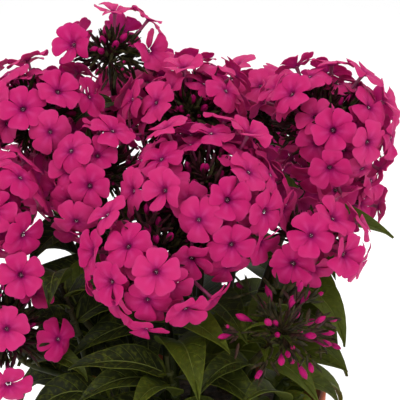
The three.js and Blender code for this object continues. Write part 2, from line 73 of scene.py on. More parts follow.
# name, middle of the dome, radius, lean of its axis, polar angles of the flowers, stem's root, share open
heads = [
    ["a", [9, -38, 256], 44, [0, -0.9], 34, 104, [3, -16], 1],
    ["b", [-17, -62, 230], 36, [-0.1, -0.6], 34, 112, [-6, -32], 1],
    ["c", [-114, -36, 252], 29, [-0.1, -0.9], 38, 112, [-27, -17], 1],
    ["g", [81, 2, 291], 36, [0.15, -0.9], 36, 116, [30, 4], 1],
    ["h", [69, -36, 232], 28, [0.1, -0.5], 26, 106, [28, -16], 1],
    ["d", [-90, 14, 292], 35, [-0.2, -0.6], 32, 110, [-34, 8], 1],
    ["f", [1, 14, 291], 37, [0.05, -1.1], 35, 112, [7, 8], 1],
    ["i", [-106, -48, 180], 33, [-0.4, -0.5], 30, 108, [-38, -26], 1],
    ["e", [-48, 34, 330], 27, [0, -1.0], 44, 100, [-12, 12], 1],
    ["m", [-52, -16, 267], 35, [-0.1, -0.7], 22, 112, [-16, -4], 1],
    ["k", [-30, 80, 284], 36, [-0.1, 0.5], 34, 98, [-22, 34], 1],
    ["l", [46, 74, 278], 36, [0.2, 0.5], 34, 98, [20, 30], 1],
    ["n", [84, 62, 236], 34, [0.5, 0.4], 34, 100, [38, 22], 1],
    ["o", [-92, 58, 240], 34, [-0.5, 0.4], 34, 100, [-38, 22], 1],
    ["j", [53, -68, 188], 38, [0.7, -0.6], 112, 90, [30, -40], 0],
]
headFields = ["name", "at", "radius", "lean", "from", "to", "root", "open"]
heads = [dict(zip(headFields, head)) for head in heads]
# which way the flowers of two heads stand, and how far each is turned to the front
chosen = {
    "e": [[-21, -15, 9, 0.7], [4, -3, 28, 0], [22, 2, 20, 0], [24, -9, 4, 0.5], [8, 24, 12, 0],
          [-20, 18, 8, 0]],
    "i": [[17, 0, 26, 0.5], [4, -25, 12, 0.2], [31, -8, 0, 0.9], [4, -24, -20, 0.4], [-12, -8, 28, 0.3],
          [-20, -22, 2, 0], [-31, 0, 8, 0.2], [-20, -16, -20, 0], [-22, 22, 12, 0], [6, 26, 16, 0]],
}
shoots = [
    ["q", [30, -84, 152], [0.1, -0.6], [12, -54]],
    ["r", [-12, -66, 174], [0, -0.3], [-4, -50]],
    ["s", [-60, -62, 150], [-0.4, -0.6], [-40, -42]],
    ["t", [64, -34, 150], [0.4, -0.4], [52, -20]],
    ["u", [-14, 78, 158], [-0.1, 0.5], [-6, 52]],
    ["v", [50, 62, 152], [0.3, 0.5], [36, 42]],
    ["w", [66, -62, 148], [0.4, -0.3], [46, -46]],
    ["x", [-78, -34, 214], [-0.3, -0.3], [-58, -20]],
]
shoots = [dict(zip(["name", "at", "lean", "root"], shoot)) for shoot in shoots]

fullTurn = math.pi * 2
goldenAngle = math.pi * (3 - math.sqrt(5))
dice = {"range": 2147483647, "first": 7919, "next": 48271}


def seededDraw(seed):  # the same run of numbers from 0 to 1 for the same seed
    state = seed * dice["first"] % dice["range"]

    def draw():
        nonlocal state
        state = state * dice["next"] % dice["range"]
        return state / dice["range"]

    return draw


def between(draw, limits):
    low, high = limits
    return low + (high - low) * draw()


def cosineOf(degrees):
    return math.cos(math.radians(degrees))


def unit(vector):
    return vector / np.linalg.norm(vector)


def sidesOf(axis):
    side = unit(np.cross(axis, (0, 1, 0)))
    return side, np.cross(axis, side)


def aroundAxis(axis, cosine, angle):
    side, front = sidesOf(axis)
    sine = math.sqrt(1 - cosine ** 2)
    return axis * cosine + side * (sine * math.cos(angle)) + front * (sine * math.sin(angle))


class Crowd:  # sample points of what stands already, each with the number of its owner
    def __init__(self):
        self.points = np.zeros((0, 3))
        self.owners = np.zeros(0, int)

    def add(self, points, owner):
        self.points = np.concatenate([self.points, points])
        self.owners = np.concatenate([self.owners, np.full(len(points), owner)])

    def isClear(self, points, owner, distance):
        inReach = np.all((self.points > points.min(0) - distance)
                         & (self.points < points.max(0) + distance), axis=1)
        near = self.points[inReach & (self.owners != owner)]
        return len(near) == 0 or isApart(points, near, distance)


def isApart(points, others, distance):
    return np.linalg.norm(points[:, None] - others[None], axis=2).min() >= distance


def curvePoints(curve, shares):
    t = np.asarray(shares)[..., None]
    return (curve[0] * (1 - t) ** 3 + curve[1] * (3 * t * (1 - t) ** 2)
            + curve[2] * (3 * t * t * (1 - t)) + curve[3] * t ** 3)


measureShares = np.linspace(0, 1, stem["measures"])


def curveLengths(curve):  # the length so far at even steps of the curve's own parameter
    gaps = np.linalg.norm(np.diff(curvePoints(curve, measureShares), axis=0), axis=1)
    return np.concatenate([[0], np.cumsum(gaps)])


def spacedPoints(curve, count):
    lengths = curveLengths(curve)
    wanted = np.linspace(0, 1, count + 1) * lengths[-1]
    return curvePoints(curve, np.interp(wanted, lengths, measureShares))


def stemCurve(plant):
    rise = plant["top"][2] - soil["edge"]
    rootX, rootY = plant["root"]
    low = soil["edge"] + max(rise * stem["upright"], stem["clearRim"])
    return np.array([[rootX, rootY, soil["edge"] - stem["foot"]], [rootX, rootY, low],
                     plant["top"] - plant["axis"] * rise * stem["reach"], plant["top"]])


def onStem(plant, share):
    place = min(share * stem["steps"], stem["steps"] - tiny)
    step = math.floor(place)
    return plant["path"][step] + (plant["path"][step + 1] - plant["path"][step]) * (place - step)


def facesMiddle(place, direction):
    return -(place[0] * direction[0] + place[1] * direction[1]) / math.hypot(place[0], place[1])


def isSheltered(head, outward):  # where its neighbours leave no light for flowers
    return facesMiddle(head["centre"], outward) > spread["sheltered"] and outward[2] < spread["shade"]


def tilted(head, outward, tiltA, tiltB, tilt):
    side, front = sidesOf(head["axis"])
    return outward + side * ((tiltA - 0.5) * tilt) + front * ((tiltB - 0.5) * tilt)


def nearAnotherCore(points, head):
    return any(other is not head and np.linalg.norm(points - other["centre"], axis=1).min()
               < other["radius"] * core["share"] + clearOf["core"] for other in heads)


def flowerPoints(at, normal, centre):
    side, front = sidesOf(normal)
    points = [at]
    for count, share in spread["faceRings"]:
        for step in range(count):
            angle = step * fullTurn / count
            reach = flower["radius"] * share
            points.append(at + side * (reach * math.cos(angle)) + front * (reach * math.sin(angle)))
    inward = unit(centre - at)
    return np.array(points + [at + inward * depth for depth in spread["tubeDepths"]])


def crosses(one, other):
    line = np.cross(one["normal"], other["normal"])
    sine = np.linalg.norm(line)
    apart = other["at"] - one["at"]
    reach = flower["radius"] + spread["margin"]
    awayOne = abs(apart @ other["normal"]) / max(sine, tiny)
    awayOther = abs(apart @ one["normal"]) / max(sine, tiny)
    if sine < tiny or awayOne > reach or awayOther > reach:
        return False
    halves = math.sqrt(reach ** 2 - awayOne ** 2) + math.sqrt(reach ** 2 - awayOther ** 2)
    return abs(apart @ line) / sine < halves


def placeFlowers(head):
    draw = seededDraw(head["seed"])
    first, last = cosineOf(head["from"]), cosineOf(head["to"])
    turn = draw() * fullTurn
    apart = spread["apart"] * (spread["sparse"] if head["at"][1] > spread["behind"] else 1)
    placed = []
    places = chosen.get(head["name"])
    for step in range(len(places) if places else spread["tries"]):
        lift, tiltA, tiltB, spin, opening = [draw() for _ in range(5)]
        cosine = first + (last - first) * (step + 0.5) / spread["tries"]
        outward = aroundAxis(head["axis"], cosine, turn + step * goldenAngle)
        turned = 0
        if places:
            *outward, turned = places[step]
            outward = unit(np.array(outward, float))
        elif isSheltered(head, outward):
            continue
        leaning = tilted(head, outward, tiltA, tiltB, spread["tilt"])
        normal = unit(leaning + np.array(spread["toFront"]) * turned)
        for level in spread["levels"]:
            at = head["centre"] + outward * (head["radius"] + level + lift * spread["jitter"])
            one = {"at": at, "normal": normal, "spin": spin * fullTurn, "size": 1,
                   "open": opening < head["open"]}
            if any(np.linalg.norm(other["at"] - at) < apart or crosses(other, one) for other in placed):
                continue
            points = flowerPoints(at, normal, head["centre"])
            if not (blooms.isClear(points, head["number"], clearOf["flower"])
                    and stalks.isClear(points, head["number"], clearOf["stem"])
                    and not nearAnotherCore(points, head)):
                continue
            placed.append(one)
            if one["open"]:
                blooms.add(points, head["number"])
            break
    return [one for one in placed if one["open"]]


# Between and below them stand more flowers, half hidden.
tucked = {"apart": 15.5, "under": 8, "jitter": 3, "fromFlower": 12.5, "fromTube": 6.5, "clear": 4.5,
          "tries": 260, "size": 0.88, "tilt": 0.5, "higher": 6, "turn": 5}
# flowers on longer stalks: their place from the dome's middle, and the way they face
late = {"i": [{"from": [12, -15, 41], "normal": [0.12, -0.95, 0.3]}]}


def fromTube(at, one, centre):  # how far a place is from another flower's tube
    along = centre - one["at"]
    share = min(max(float(np.dot(at - one["at"], along) / np.dot(along, along)), 0), 1)
    return np.linalg.norm(at - one["at"] - along * share)


def placeTucked(head):
    draw = seededDraw(head["seed"] + firstSeed["tucked"])
    first, last = cosineOf(head["from"] - tucked["higher"]), cosineOf(head["to"])
    placed = []
    for one in late.get(head["name"], []):
        at = head["centre"] + np.array(one["from"], float)
        normal = unit(np.array(one["normal"], float))
        placed.append({"at": at, "normal": normal, "spin": draw() * fullTurn, "size": 1})
    for step in range(tucked["tries"] if head["open"] and head["name"] not in chosen else 0):
        lift, tiltA, tiltB, spin = [draw() for _ in range(4)]
        outward = aroundAxis(head["axis"], first + (last - first) * (step + 0.5) / tucked["tries"],
                             head["seed"] * tucked["turn"] + step * goldenAngle)
        if isSheltered(head, outward):
            continue
        at = head["centre"] + outward * (head["radius"] - tucked["under"] + lift * tucked["jitter"])
        if any(np.linalg.norm(other["at"] - at) < tucked["fromFlower"]
               or fromTube(at, other, head["centre"]) < tucked["fromTube"] for other in head["flowers"]):
            continue
        if any(np.linalg.norm(other["at"] - at) < tucked["apart"] for other in placed):
            continue
        normal = unit(tilted(head, outward, tiltA, tiltB, tucked["tilt"]))
        points = flowerPoints(at, normal, head["centre"])
        if blooms.isClear(points, head["number"], tucked["clear"]) and not nearAnotherCore(points, head):
            placed.append({"at": at, "normal": normal, "spin": spin * fullTurn, "size": tucked["size"]})
            blooms.add(points, head["number"])
    return placed


def placeBuds(head):
    count = bud["count"] if head["open"] else bud["count"] * 2
    last = cosineOf(head["from"] - bud["room"])
    return [aroundAxis(head["axis"], 1 - (1 - last) * (step + 0.5) / count, head["seed"] + step * goldenAngle)
            for step in range(count)]


def halfWidth(share):  # half a blade's width for a width of 1, at shares of its length
    inside = np.clip(share, 0, 1)
    foot = (inside / leaf["widest"]) ** leaf["base"]
    return 0.5 * foot * ((1 - inside) / (1 - leaf["widest"])) ** leaf["tip"]


def bladePlaces(blade, share, across, over):  # across runs from -1 to 1 between the edges
    angle = blade["rise"] + blade["bend"] * share
    out = leaf["socket"] + blade["length"] * (np.sin(angle) - math.sin(blade["rise"])) / blade["bend"]
    up = blade["length"] * (math.cos(blade["rise"]) - np.cos(angle)) / blade["bend"]
    sine, cosine = math.sin(blade["azimuth"]), math.cos(blade["azimuth"])
    level = np.array([-sine, cosine, 0])
    upright = np.stack([-np.sin(angle) * cosine, -np.sin(angle) * sine, np.cos(angle)], axis=-1)
    side = level * math.cos(blade["roll"]) + upright * math.sin(blade["roll"])
    normal = upright * math.cos(blade["roll"]) - level * math.sin(blade["roll"])
    width = blade["width"] * halfWidth(share)
    height = over + np.abs(across) * width * leaf["fold"] * 2
    rib = blade["start"] + np.stack([out * cosine, out * sine, up], axis=-1)
    return rib + side * (across * width)[..., None] + normal * height[..., None]


def isOutsidePot(points):
    radius, height = np.hypot(points[:, 0], points[:, 1]), points[:, 2]
    above = height > pot["height"] + clearOf["rim"]
    beside = radius > pot["rimRadius"] + clearOf["rim"]
    within = (height > soil["edge"] + soil["rise"] + clearOf["rim"]) \
        & (radius < pot["rimRadius"] - pot["wall"] * 2 - clearOf["rim"])
    reach = np.where(height > habit["reach"]["from"], habit["reach"]["high"], habit["reach"]["low"])
    away = np.hypot(points[:, 0] - habit["reach"]["middle"], points[:, 1])
    return bool(np.all((height >= clearOf["ground"]) & (above | beside | within) & (away <= reach)))


sampleShares, sampleAcross = np.meshgrid(
    np.arange(1, bladeSamples["steps"] + 1) / bladeSamples["steps"], bladeSamples["across"], indexing="ij")
sampleShares, sampleAcross = sampleShares.ravel(), sampleAcross.ravel()


def placeBlade(plant, start, azimuth, rise, bend, size):
    for share in sizeTries:
        for riseBy, bendBy in archTries:
            for turn in headingTries:
                heading = azimuth + math.radians(turn)
                blade = {"start": start, "azimuth": heading, "roll": leaf["toLight"] * math.cos(heading),
                         "rise": math.radians(rise + riseBy), "bend": math.radians(bend + bendBy),
                         "length": leaf["length"] * size * share, "width": leaf["width"] * size * share}
                points = bladePlaces(blade, sampleShares, sampleAcross, 0 * sampleShares)
                outer = points[bladeSamples["nearStem"]:]
                if (isOutsidePot(points) and blooms.isClear(points, -1, clearOf["leaf"])
                        and stalks.isClear(points, plant["number"], clearOf["stalk"])
                        and blades.isClear(points, plant["number"], clearOf["leaf"])
                        and all(isApart(outer, other["outer"], clearOf["ownLeaf"])
                                for other in plant["leaves"])
                        and not nearAnotherCore(points, None)):
                    blades.add(points, plant["number"])
                    return {**blade, "outer": outer}
    return None


def placePair(plant, pair):
    growth, jitter = plant["habit"], habit["jitter"]
    length = curveLengths(plant["curve"])[-1]
    along = stem["foot"] + habit["first"] + pair * growth["pitch"]
    if along > length - habit["nearTip"]:
        return
    share = along / length
    start = onStem(plant, share)
    for turn in (0, math.pi):
        jitterA, jitterB, jitterC = [plant["draw"]() - 0.5 for _ in range(3)]
        azimuth = plant["turn"] + pair * math.pi * 0.5 + turn + jitterB * jitter["azimuth"]
        if facesMiddle(start, (math.cos(azimuth), math.sin(azimuth))) > habit["sheltered"]:
            continue
        size = growth["size"] - growth["taper"] * share ** growth["power"]
        rise = growth["rise"] + growth["riseGain"] * share + jitterA * jitter["rise"]
        bend = habit["bend"] + jitterC * jitter["bend"]
        blade = placeBlade(plant, start, azimuth, rise, bend, size * (1 + jitterC * jitter["size"]))
        if blade:
            plant["leaves"].append({**blade, "age": 1 - share})


plants = heads + shoots
blooms, stalks, blades = Crowd(), Crowd(), Crowd()
for number, plant in enumerate(plants):
    isHead = plant in heads
    plant["number"] = number
    plant["seed"] = firstSeed["heads"] + number if isHead else firstSeed["shoots"] + number - len(heads)
    plant["habit"] = habit["flowering" if isHead else "leafy"]
    plant["axis"] = unit(np.array([*plant["lean"], 1.0]))
    plant["centre"] = plant["top"] = np.array(plant["at"], float)
    if isHead:
        plant["top"] = plant["centre"] - plant["axis"] * plant["radius"] * core["stalk"]
    plant["curve"] = stemCurve(plant)
    plant["path"] = spacedPoints(plant["curve"], stem["steps"])
    stalks.add(spacedPoints(plant["curve"], stem["samples"]), number)
    if isHead:
        upward = plant["centre"] - plant["top"]
        inside = np.array([plant["top"] + upward * share for share in core["samples"]])
        blooms.add(inside, number)
        stalks.add(inside, number)
for head in heads:
    head["buds"] = placeBuds(head)
    reach = head["radius"] * bud["reach"]
    for outward in head["buds"]:
        points = [head["centre"] + outward * reach * share for share in bud["samples"]]
        blooms.add(np.array(points), head["number"])
for head in sorted(heads, key=lambda head: head["name"] not in chosen):
    head["flowers"] = placeFlowers(head)
for plant in plants:
    plant["draw"] = seededDraw(plant["seed"] + firstSeed["leaves"])
    plant["turn"] = plant["draw"]() * math.pi
    plant["leaves"] = []
for pair in range(habit["pairs"]):
    for plant in plants:
        placePair(plant, pair)
for head in heads:
    head["tucked"] = placeTucked(head)
print("placed", sum(len(head["flowers"]) for head in heads), "flowers,",
      sum(len(head["tucked"]) for head in heads), "tucked ones and",
      sum(len(plant["leaves"]) for plant in plants), "leaves")


# The camera and the studio light.
view = {"target": (0.007, 0, 0.248), "distance": 0.9, "elevation": 15, "lens": 135, "sensor": 36}


def addCamera():
    rise = math.radians(view["elevation"])
    back = Vector((0, -math.cos(rise), math.sin(rise)))
    bpy.ops.object.camera_add(location=Vector(view["target"]) + back * view["distance"])
    camera = bpy.context.object
    camera.rotation_euler = (-back).to_track_quat("-Z", "Y").to_euler()
    camera.data.lens, camera.data.sensor_width = view["lens"], view["sensor"]
    bpy.context.scene.camera = camera


studio = {
    "key": {"at": (-0.45, -1.1, 1.5), "size": 0.9, "power": 14},
    "fill": {"at": (1.25, -1.0, 0.75), "size": 1.2, "power": 4.5},
    "back": {"at": (0.2, 1.1, 1.5), "size": 1.4, "power": 6},
    "sky": 1.0, "floor": 8,
}


def addLights():
    middle = Vector(view["target"])
    for name in ("key", "fill", "back"):
        lamp = studio[name]
        bpy.ops.object.light_add(type="AREA", location=lamp["at"])
        light = bpy.context.object
        light.name = name
        light.rotation_euler = (middle - light.location).to_track_quat("-Z", "Y").to_euler()
        light.data.size, light.data.energy = lamp["size"], lamp["power"]
    world = bpy.data.worlds.new("studio")
    world.use_nodes = True
    background = world.node_tree.nodes["Background"]
    background.inputs["Color"].default_value = (1, 1, 1, 1)
    background.inputs["Strength"].default_value = studio["sky"]
    bpy.context.scene.world = world


# Materials: colours are given as screen values from 0 to 255, and sizes of grain in metres.
def hue(red, green, blue):  # the same colour in the shader's own values
    shares = [value / 255 for value in (red, green, blue)]
    return (*[((share + 0.055) / 1.055) ** 2.4 if share > 0.04045 else share / 12.92 for share in shares], 1)


class Wire:  # a socket in an expression: its operators add Math nodes
    def __init__(self, finish, socket):
        self.finish, self.socket = finish, socket

    def math(self, operation, *values):
        return self.finish.node("Math", {"operation": operation}, dict(enumerate(values)))

    def __add__(self, other):
        return self.math("ADD", self, other)

    def __radd__(self, other):
        return self.math("ADD", other, self)

    def __sub__(self, other):
        return self.math("SUBTRACT", self, other)

    def __rsub__(self, other):
        return self.math("SUBTRACT", other, self)

    def __mul__(self, other):
        return self.math("MULTIPLY", self, other)

    def __rmul__(self, other):
        return self.math("MULTIPLY", other, self)

    def __mod__(self, other):
        return self.math("MODULO", self, other)

    def __abs__(self):
        return self.math("ABSOLUTE", self)


class Finish:  # one material and the nodes that it is made of
    def __init__(self, name, constants):
        self.material = bpy.data.materials.new(name)
        self.material.use_nodes = True
        self.tree = self.material.node_tree
        self.shader = self.tree.nodes["Principled BSDF"]
        for key, value in constants.items():
            self.shader.inputs[key].default_value = value

    def feed(self, socket, value):
        if isinstance(value, Wire):
            self.tree.links.new(value.socket, socket)
        else:
            socket.default_value = value

    def node(self, kind, settings=None, values=None, output=0):
        made = self.tree.nodes.new("ShaderNode" + kind)
        for key, value in (settings or {}).items():
            setattr(made, key, value)
        for key, value in (values or {}).items():
            self.feed(made.inputs[key], value)
        return Wire(self, made.outputs[output])

    def mix(self, mask, first, second):
        return self.node("Mix", {"data_type": "RGBA"}, {0: mask, 6: first, 7: second}, 2)

    def ease(self, value, low, high):  # 0 at low, 1 at high, smooth between
        return self.node("MapRange", {"interpolation_type": "SMOOTHSTEP"},
                         {"Value": value, "From Min": low, "From Max": high})

    def noise(self, size, detail=3, stretch=(1, 1, 1)):  # spots of about this size
        place = self.node("TexCoord", output=3)
        scale = tuple(share / size for share in stretch)
        scaled = self.node("Mapping", values={"Vector": place, "Scale": scale})
        return self.node("TexNoise", values={"Vector": scaled, "Scale": 1.0, "Detail": detail})

    def along(self):  # the piece's own map: x runs from root to tip, y across
        split = self.node("SeparateXYZ", values={"Vector": self.node("TexCoord", output=2)})
        sockets = split.socket.node.outputs
        return Wire(self, sockets[0]), abs(Wire(self, sockets[1]) * 2 - 1)

    def tone(self):
        return self.node("Attribute", {"attribute_name": "tone"}, output=2)

    def finish(self, color, roughness=None, height=None, depth=0.0):
        self.feed(self.shader.inputs["Base Color"], color)
        if roughness is not None:
            self.feed(self.shader.inputs["Roughness"], roughness)
        if height is not None:
            bump = self.node("Bump", values={"Height": height, "Distance": depth})
            self.feed(self.shader.inputs["Normal"], bump)
        return self.material


# In each look, a name with At or Fade gives where a marking starts and where it is full.
petalLook = {
    "shader": {"Roughness": 0.62, "Specular IOR Level": 0.12, "Subsurface Weight": 0.3,
               "Subsurface Radius": (0.0026, 0.0008, 0.0018), "Subsurface Scale": 1.0},
    "spots": 0.009, "rays": 0.0012, "creases": 0.0038, "relief": 0.0005,
    "lit": hue(194, 37, 105), "deep": hue(183, 22, 97), "patchAt": (0.25, 0.75), "vary": 0.8,
    "margin": hue(202, 62, 123), "marginAt": (0.55, 1.0), "marginShare": 0.35,
    "veins": 9, "veinAt": (0.28, 0.5), "veinFade": (0.95, 0.3), "veinShare": 0.35,
    "eye": hue(154, 0, 94), "eyeAt": (0.72, 0.14), "eyeShare": 0.92, "star": 0.2, "ragged": 0.22,
    "pupil": hue(108, 0, 68), "pupilAt": (0.3, 0.06), "pupilShare": 0.85, "pupilRagged": 0.1,
    "streak": hue(228, 84, 150), "streakAt": (0.5, 0.1), "streakFade": ((0.12, 0.26), (0.75, 0.35)),
    "streakShare": 0.22, "streakRagged": 0.2, "back": hue(188, 66, 146), "backPaleness": 0.24,
}


def petalFinish(name, paleness):
    look = petalLook
    made = Finish(name, look["shader"])
    along, across = made.along()
    spots = made.noise(look["spots"])
    patch = made.ease(spots + made.tone() * look["vary"] - look["vary"] / 2, *look["patchAt"])
    body = made.mix(patch, look["deep"], look["lit"])
    body = made.mix(made.ease(along, *look["marginAt"]) * look["marginShare"], body, look["margin"])
    fan = made.ease(abs((across * look["veins"]) % 1 - 0.5), *look["veinAt"])
    body = made.mix(fan * made.ease(along, *look["veinFade"]) * look["veinShare"], body, look["deep"])
    rays = made.noise(look["rays"], 2)
    edge = made.ease(along + across * look["star"] + rays * look["ragged"], *look["eyeAt"])
    body = made.mix(edge * look["eyeShare"], body, look["eye"])
    middle = made.ease(along + (across + rays) * look["pupilRagged"], *look["pupilAt"])
    body = made.mix(middle * look["pupilShare"], body, look["pupil"])
    streak = made.ease(across + rays * look["streakRagged"], *look["streakAt"])
    for fade in look["streakFade"]:
        streak = streak * made.ease(along, *fade)
    body = made.mix(streak * look["streakShare"], body, look["streak"])
    body = made.mix(paleness, body, look["back"])
    return made.finish(body, height=(fan + spots + made.noise(look["creases"])) * 0.5, depth=look["relief"])


plainLook = {  # skins of two colours in fine spots
    # The throat: the eye's deep purple darkened into painted shade of the narrow tube's depth.
    "flowerThroat": {"spots": 0.0006, "colors": (hue(66, 0, 44), hue(100, 4, 64)), "roughness": 0.7},
    # The anthers: their own pale colour, whitened into painted highlight specks at the throat.
    "anther": {"spots": 0.0004, "colors": (hue(246, 212, 214), hue(255, 238, 234)), "roughness": 0.7},
    "paleFloor": {"spots": 0.4, "colors": (hue(250, 250, 250), hue(253, 253, 253)), "roughness": 0.9},
}


def plainFinish(name):
    look = plainLook[name]
    made = Finish(name, {"Roughness": look["roughness"]})
    return made.finish(made.mix(made.noise(look["spots"]), *look["colors"]))


tubeLook = {
    "shader": {"Roughness": 0.55, "Subsurface Weight": 0.1, "Subsurface Scale": 0.002},
    "streaks": 0.0022, "drawnOut": (1, 1, 0.3), "colors": (hue(92, 14, 54), hue(140, 30, 88)),
    "lightAt": (0.4, 0.8), "vary": 0.3, "relief": 0.0002,
}


def tubeFinish():
    look = tubeLook
    made = Finish("flowerTube", look["shader"])
    streak = made.noise(look["streaks"], stretch=look["drawnOut"])
    color = made.mix(made.ease(streak + made.tone() * look["vary"], *look["lightAt"]), *look["colors"])
    return made.finish(color, height=streak, depth=look["relief"])


budLook = {
    "shader": {"Roughness": 0.62, "Specular IOR Level": 0.15, "Subsurface Weight": 0.1,
               "Subsurface Scale": 0.002},
    # Painted shade darkens the bud towards its foot in the calyx; its tip keeps the lit magenta.
    "colors": (hue(84, 0, 54), hue(156, 2, 88)), "tipAt": (0.2, 0.8), "vary": 0.3,
    "furl": hue(96, 8, 54), "furls": 2, "twist": 1.5, "furlAt": (0.15, 0.5), "furlShare": 0.35,
    "relief": 0.0003,
}


def budFinish():
    look = budLook
    made = Finish("budPetal", look["shader"])
    along, across = made.along()
    furl = made.ease(abs((across * look["furls"] + along * look["twist"]) % 1 - 0.5), *look["furlAt"])
    # Darker towards the foot: painted shade.
    color = made.mix(made.ease(along + made.tone() * look["vary"], *look["tipAt"]), *look["colors"])
    color = made.mix(furl * look["furlShare"], color, look["furl"])
    return made.finish(color, height=furl, depth=look["relief"])


calyxLook = {
    "shader": {"Roughness": 0.65, "Specular IOR Level": 0.15}, "specks": 0.0025, "relief": 0.0003,
    "green": (hue(28, 27, 11), hue(58, 52, 26)), "greenAt": (0.35, 0.7),
    "purple": (hue(36, 14, 20), hue(72, 28, 38)), "purpleAt": (0.3, 0.7), "ripeAt": (0.25, 0.8),
}


def calyxFinish():
    look = calyxLook
    made = Finish("calyx", look["shader"])
    specks = made.noise(look["specks"])
    green = made.mix(made.ease(specks, *look["greenAt"]), *look["green"])
    purple = made.mix(made.ease(specks, *look["purpleAt"]), *look["purple"])
    color = made.mix(made.ease(made.tone(), *look["ripeAt"]), green, purple)
    return made.finish(color, height=specks, depth=look["relief"])


toothLook = {"shader": {"Roughness": 0.7, "Specular IOR Level": 0.1}, "spots": 0.002,
             "fresh": hue(44, 22, 24), "dry": (hue(70, 48, 34), hue(120, 94, 62)), "dryAt": (0.35, 0.9)}


def toothFinish():
    look = toothLook
    made = Finish("calyxTooth", look["shader"])
    dry = made.mix(made.noise(look["spots"]), *look["dry"])
    return made.finish(made.mix(made.ease(made.tone(), *look["dryAt"]), look["fresh"], dry))


stemSkinLook = {
    "shader": {"Roughness": 0.55, "Specular IOR Level": 0.15},
    "streaks": 0.006, "drawnOut": (1, 1, 0.15), "streakAt": (0.35, 0.7), "relief": 0.0004,
    "green": (hue(30, 38, 10), hue(56, 66, 20)), "purple": (hue(30, 12, 18), hue(56, 24, 30)),
    "purpleAt": (0.16, 0.25), "purpleShare": 0.75, "ragged": 0.06,  # it starts at a height above the floor
}


def stemFinish():
    look = stemSkinLook
    made = Finish("stemSkin", look["shader"])
    streak = made.noise(look["streaks"], stretch=look["drawnOut"])
    height = made.node("SeparateXYZ", values={"Vector": made.node("TexCoord", output=3)}, output=2)
    green = made.mix(made.ease(streak, *look["streakAt"]), *look["green"])
    purple = made.mix(made.ease(streak, *look["streakAt"]), *look["purple"])
    mask = made.ease(height + streak * look["ragged"], *look["purpleAt"])
    color = made.mix(mask * look["purpleShare"], green, purple)
    return made.finish(color, height=streak, depth=look["relief"])


leafLook = {
    "shader": {"Specular IOR Level": 0.14, "Subsurface Weight": 0.05, "Subsurface Scale": 0.001},
    "dark": hue(24, 29, 6), "mid": hue(62, 70, 12), "lit": hue(98, 106, 26),
    "spots": 0.02, "spotShare": 0.7, "vary": 0.6, "shadeAt": (0.25, 0.85),
    "grain": 0.0025, "grainAt": (0.45, 0.75), "grainShare": 0.35,
    "veins": 9, "slope": 0.16, "veinAt": (0.43, 0.5), "veinFade": ((1.0, 0.7), (0.02, 0.12)),
    "veinShare": 0.45,
    "rib": hue(120, 128, 60), "ribAt": (0.075, 0.03), "ribTaper": 0.04, "ribShare": 0.6,
    "edgeAt": (0.93, 1.0), "edgeShare": 0.4, "back": hue(78, 86, 36), "backShare": 0.5,
    "roughness": 0.5, "roughGrain": 0.2, "relief": 0.0006, "veinDepth": 0.7, "ribDepth": 0.5,
    "grainHeight": 0.15,
}


def leafFinish(name, backness):
    look = leafLook
    made = Finish(name, look["shader"])
    along, across = made.along()
    spots = made.noise(look["spots"])
    grain = made.noise(look["grain"], 4)
    shade = made.ease(spots * look["spotShare"] + made.tone() * look["vary"], *look["shadeAt"])
    body = made.mix(shade, look["dark"], look["mid"])
    body = made.mix(made.ease(grain, *look["grainAt"]) * look["grainShare"], body, look["lit"])
    veins = (along - across * look["slope"]) * look["veins"]
    sideVein = made.ease(abs(veins % 1 - 0.5), *look["veinAt"])
    for fade in look["veinFade"]:
        sideVein = sideVein * made.ease(across, *fade)
    rib = made.ease(across + along * look["ribTaper"], *look["ribAt"])
    body = made.mix(sideVein * look["veinShare"], body, look["lit"])
    body = made.mix(rib * look["ribShare"], body, look["rib"])
    body = made.mix(made.ease(across, *look["edgeAt"]) * look["edgeShare"], body, look["lit"])
    body = made.mix(backness, body, look["back"])
    height = 1 - sideVein * look["veinDepth"] - rib * look["ribDepth"] + grain * look["grainHeight"]
    return made.finish(body, grain * look["roughGrain"] + look["roughness"], height, look["relief"])


potSkinLook = {
    "shader": {"Specular IOR Level": 0.25}, "clouds": 0.03, "cloudAt": (0.3, 0.7),
    "colors": (hue(178, 90, 60), hue(190, 100, 69)), "grain": 0.0015, "relief": 0.00012,
    "dust": hue(184, 132, 104), "dustSpots": 0.012, "dustAt": (0.55, 0.8), "dustShare": 0.14,
    "roughness": 0.5, "roughDust": 0.2, "roughGrain": 0.15,
}


def potFinish():
    look = potSkinLook
    made = Finish("potPlastic", look["shader"])
    cloud, grain = made.noise(look["clouds"], 4), made.noise(look["grain"], 5)
    dust = made.ease(made.noise(look["dustSpots"], 6), *look["dustAt"])
    color = made.mix(made.ease(cloud, *look["cloudAt"]), *look["colors"])
    color = made.mix(dust * look["dustShare"], color, look["dust"])
    roughness = dust * look["roughDust"] + grain * look["roughGrain"] + look["roughness"]
    return made.finish(color, roughness, grain, look["relief"])


soilSkinLook = {
    "shader": {"Roughness": 0.95}, "clods": 0.006, "clodAt": (0.35, 0.7),
    "colors": (hue(34, 24, 18), hue(78, 58, 42)), "grain": 0.0012, "fibre": hue(112, 90, 66),
    "fibreAt": (0.62, 0.75), "grainHeight": 0.6, "relief": 0.0015,
}


def soilFinish():
    look = soilSkinLook
    made = Finish("pottingSoil", look["shader"])
    clods, grain = made.noise(look["clods"], 6), made.noise(look["grain"], 6)
    color = made.mix(made.ease(clods, *look["clodAt"]), *look["colors"])
    color = made.mix(made.ease(grain, *look["fibreAt"]), color, look["fibre"])
    return made.finish(color, height=clods + grain * look["grainHeight"], depth=look["relief"])


gritLook = {"shader": {"Roughness": 0.85}, "spots": 0.001, "grain": 0.0006, "relief": 0.0003,
            "colors": (hue(170, 162, 148), hue(222, 216, 206))}


def gritFinish():
    look = gritLook
    made = Finish("whiteGrit", look["shader"])
    color = made.mix(made.noise(look["spots"], 4), *look["colors"])
    return made.finish(color, height=made.noise(look["grain"], 4), depth=look["relief"])


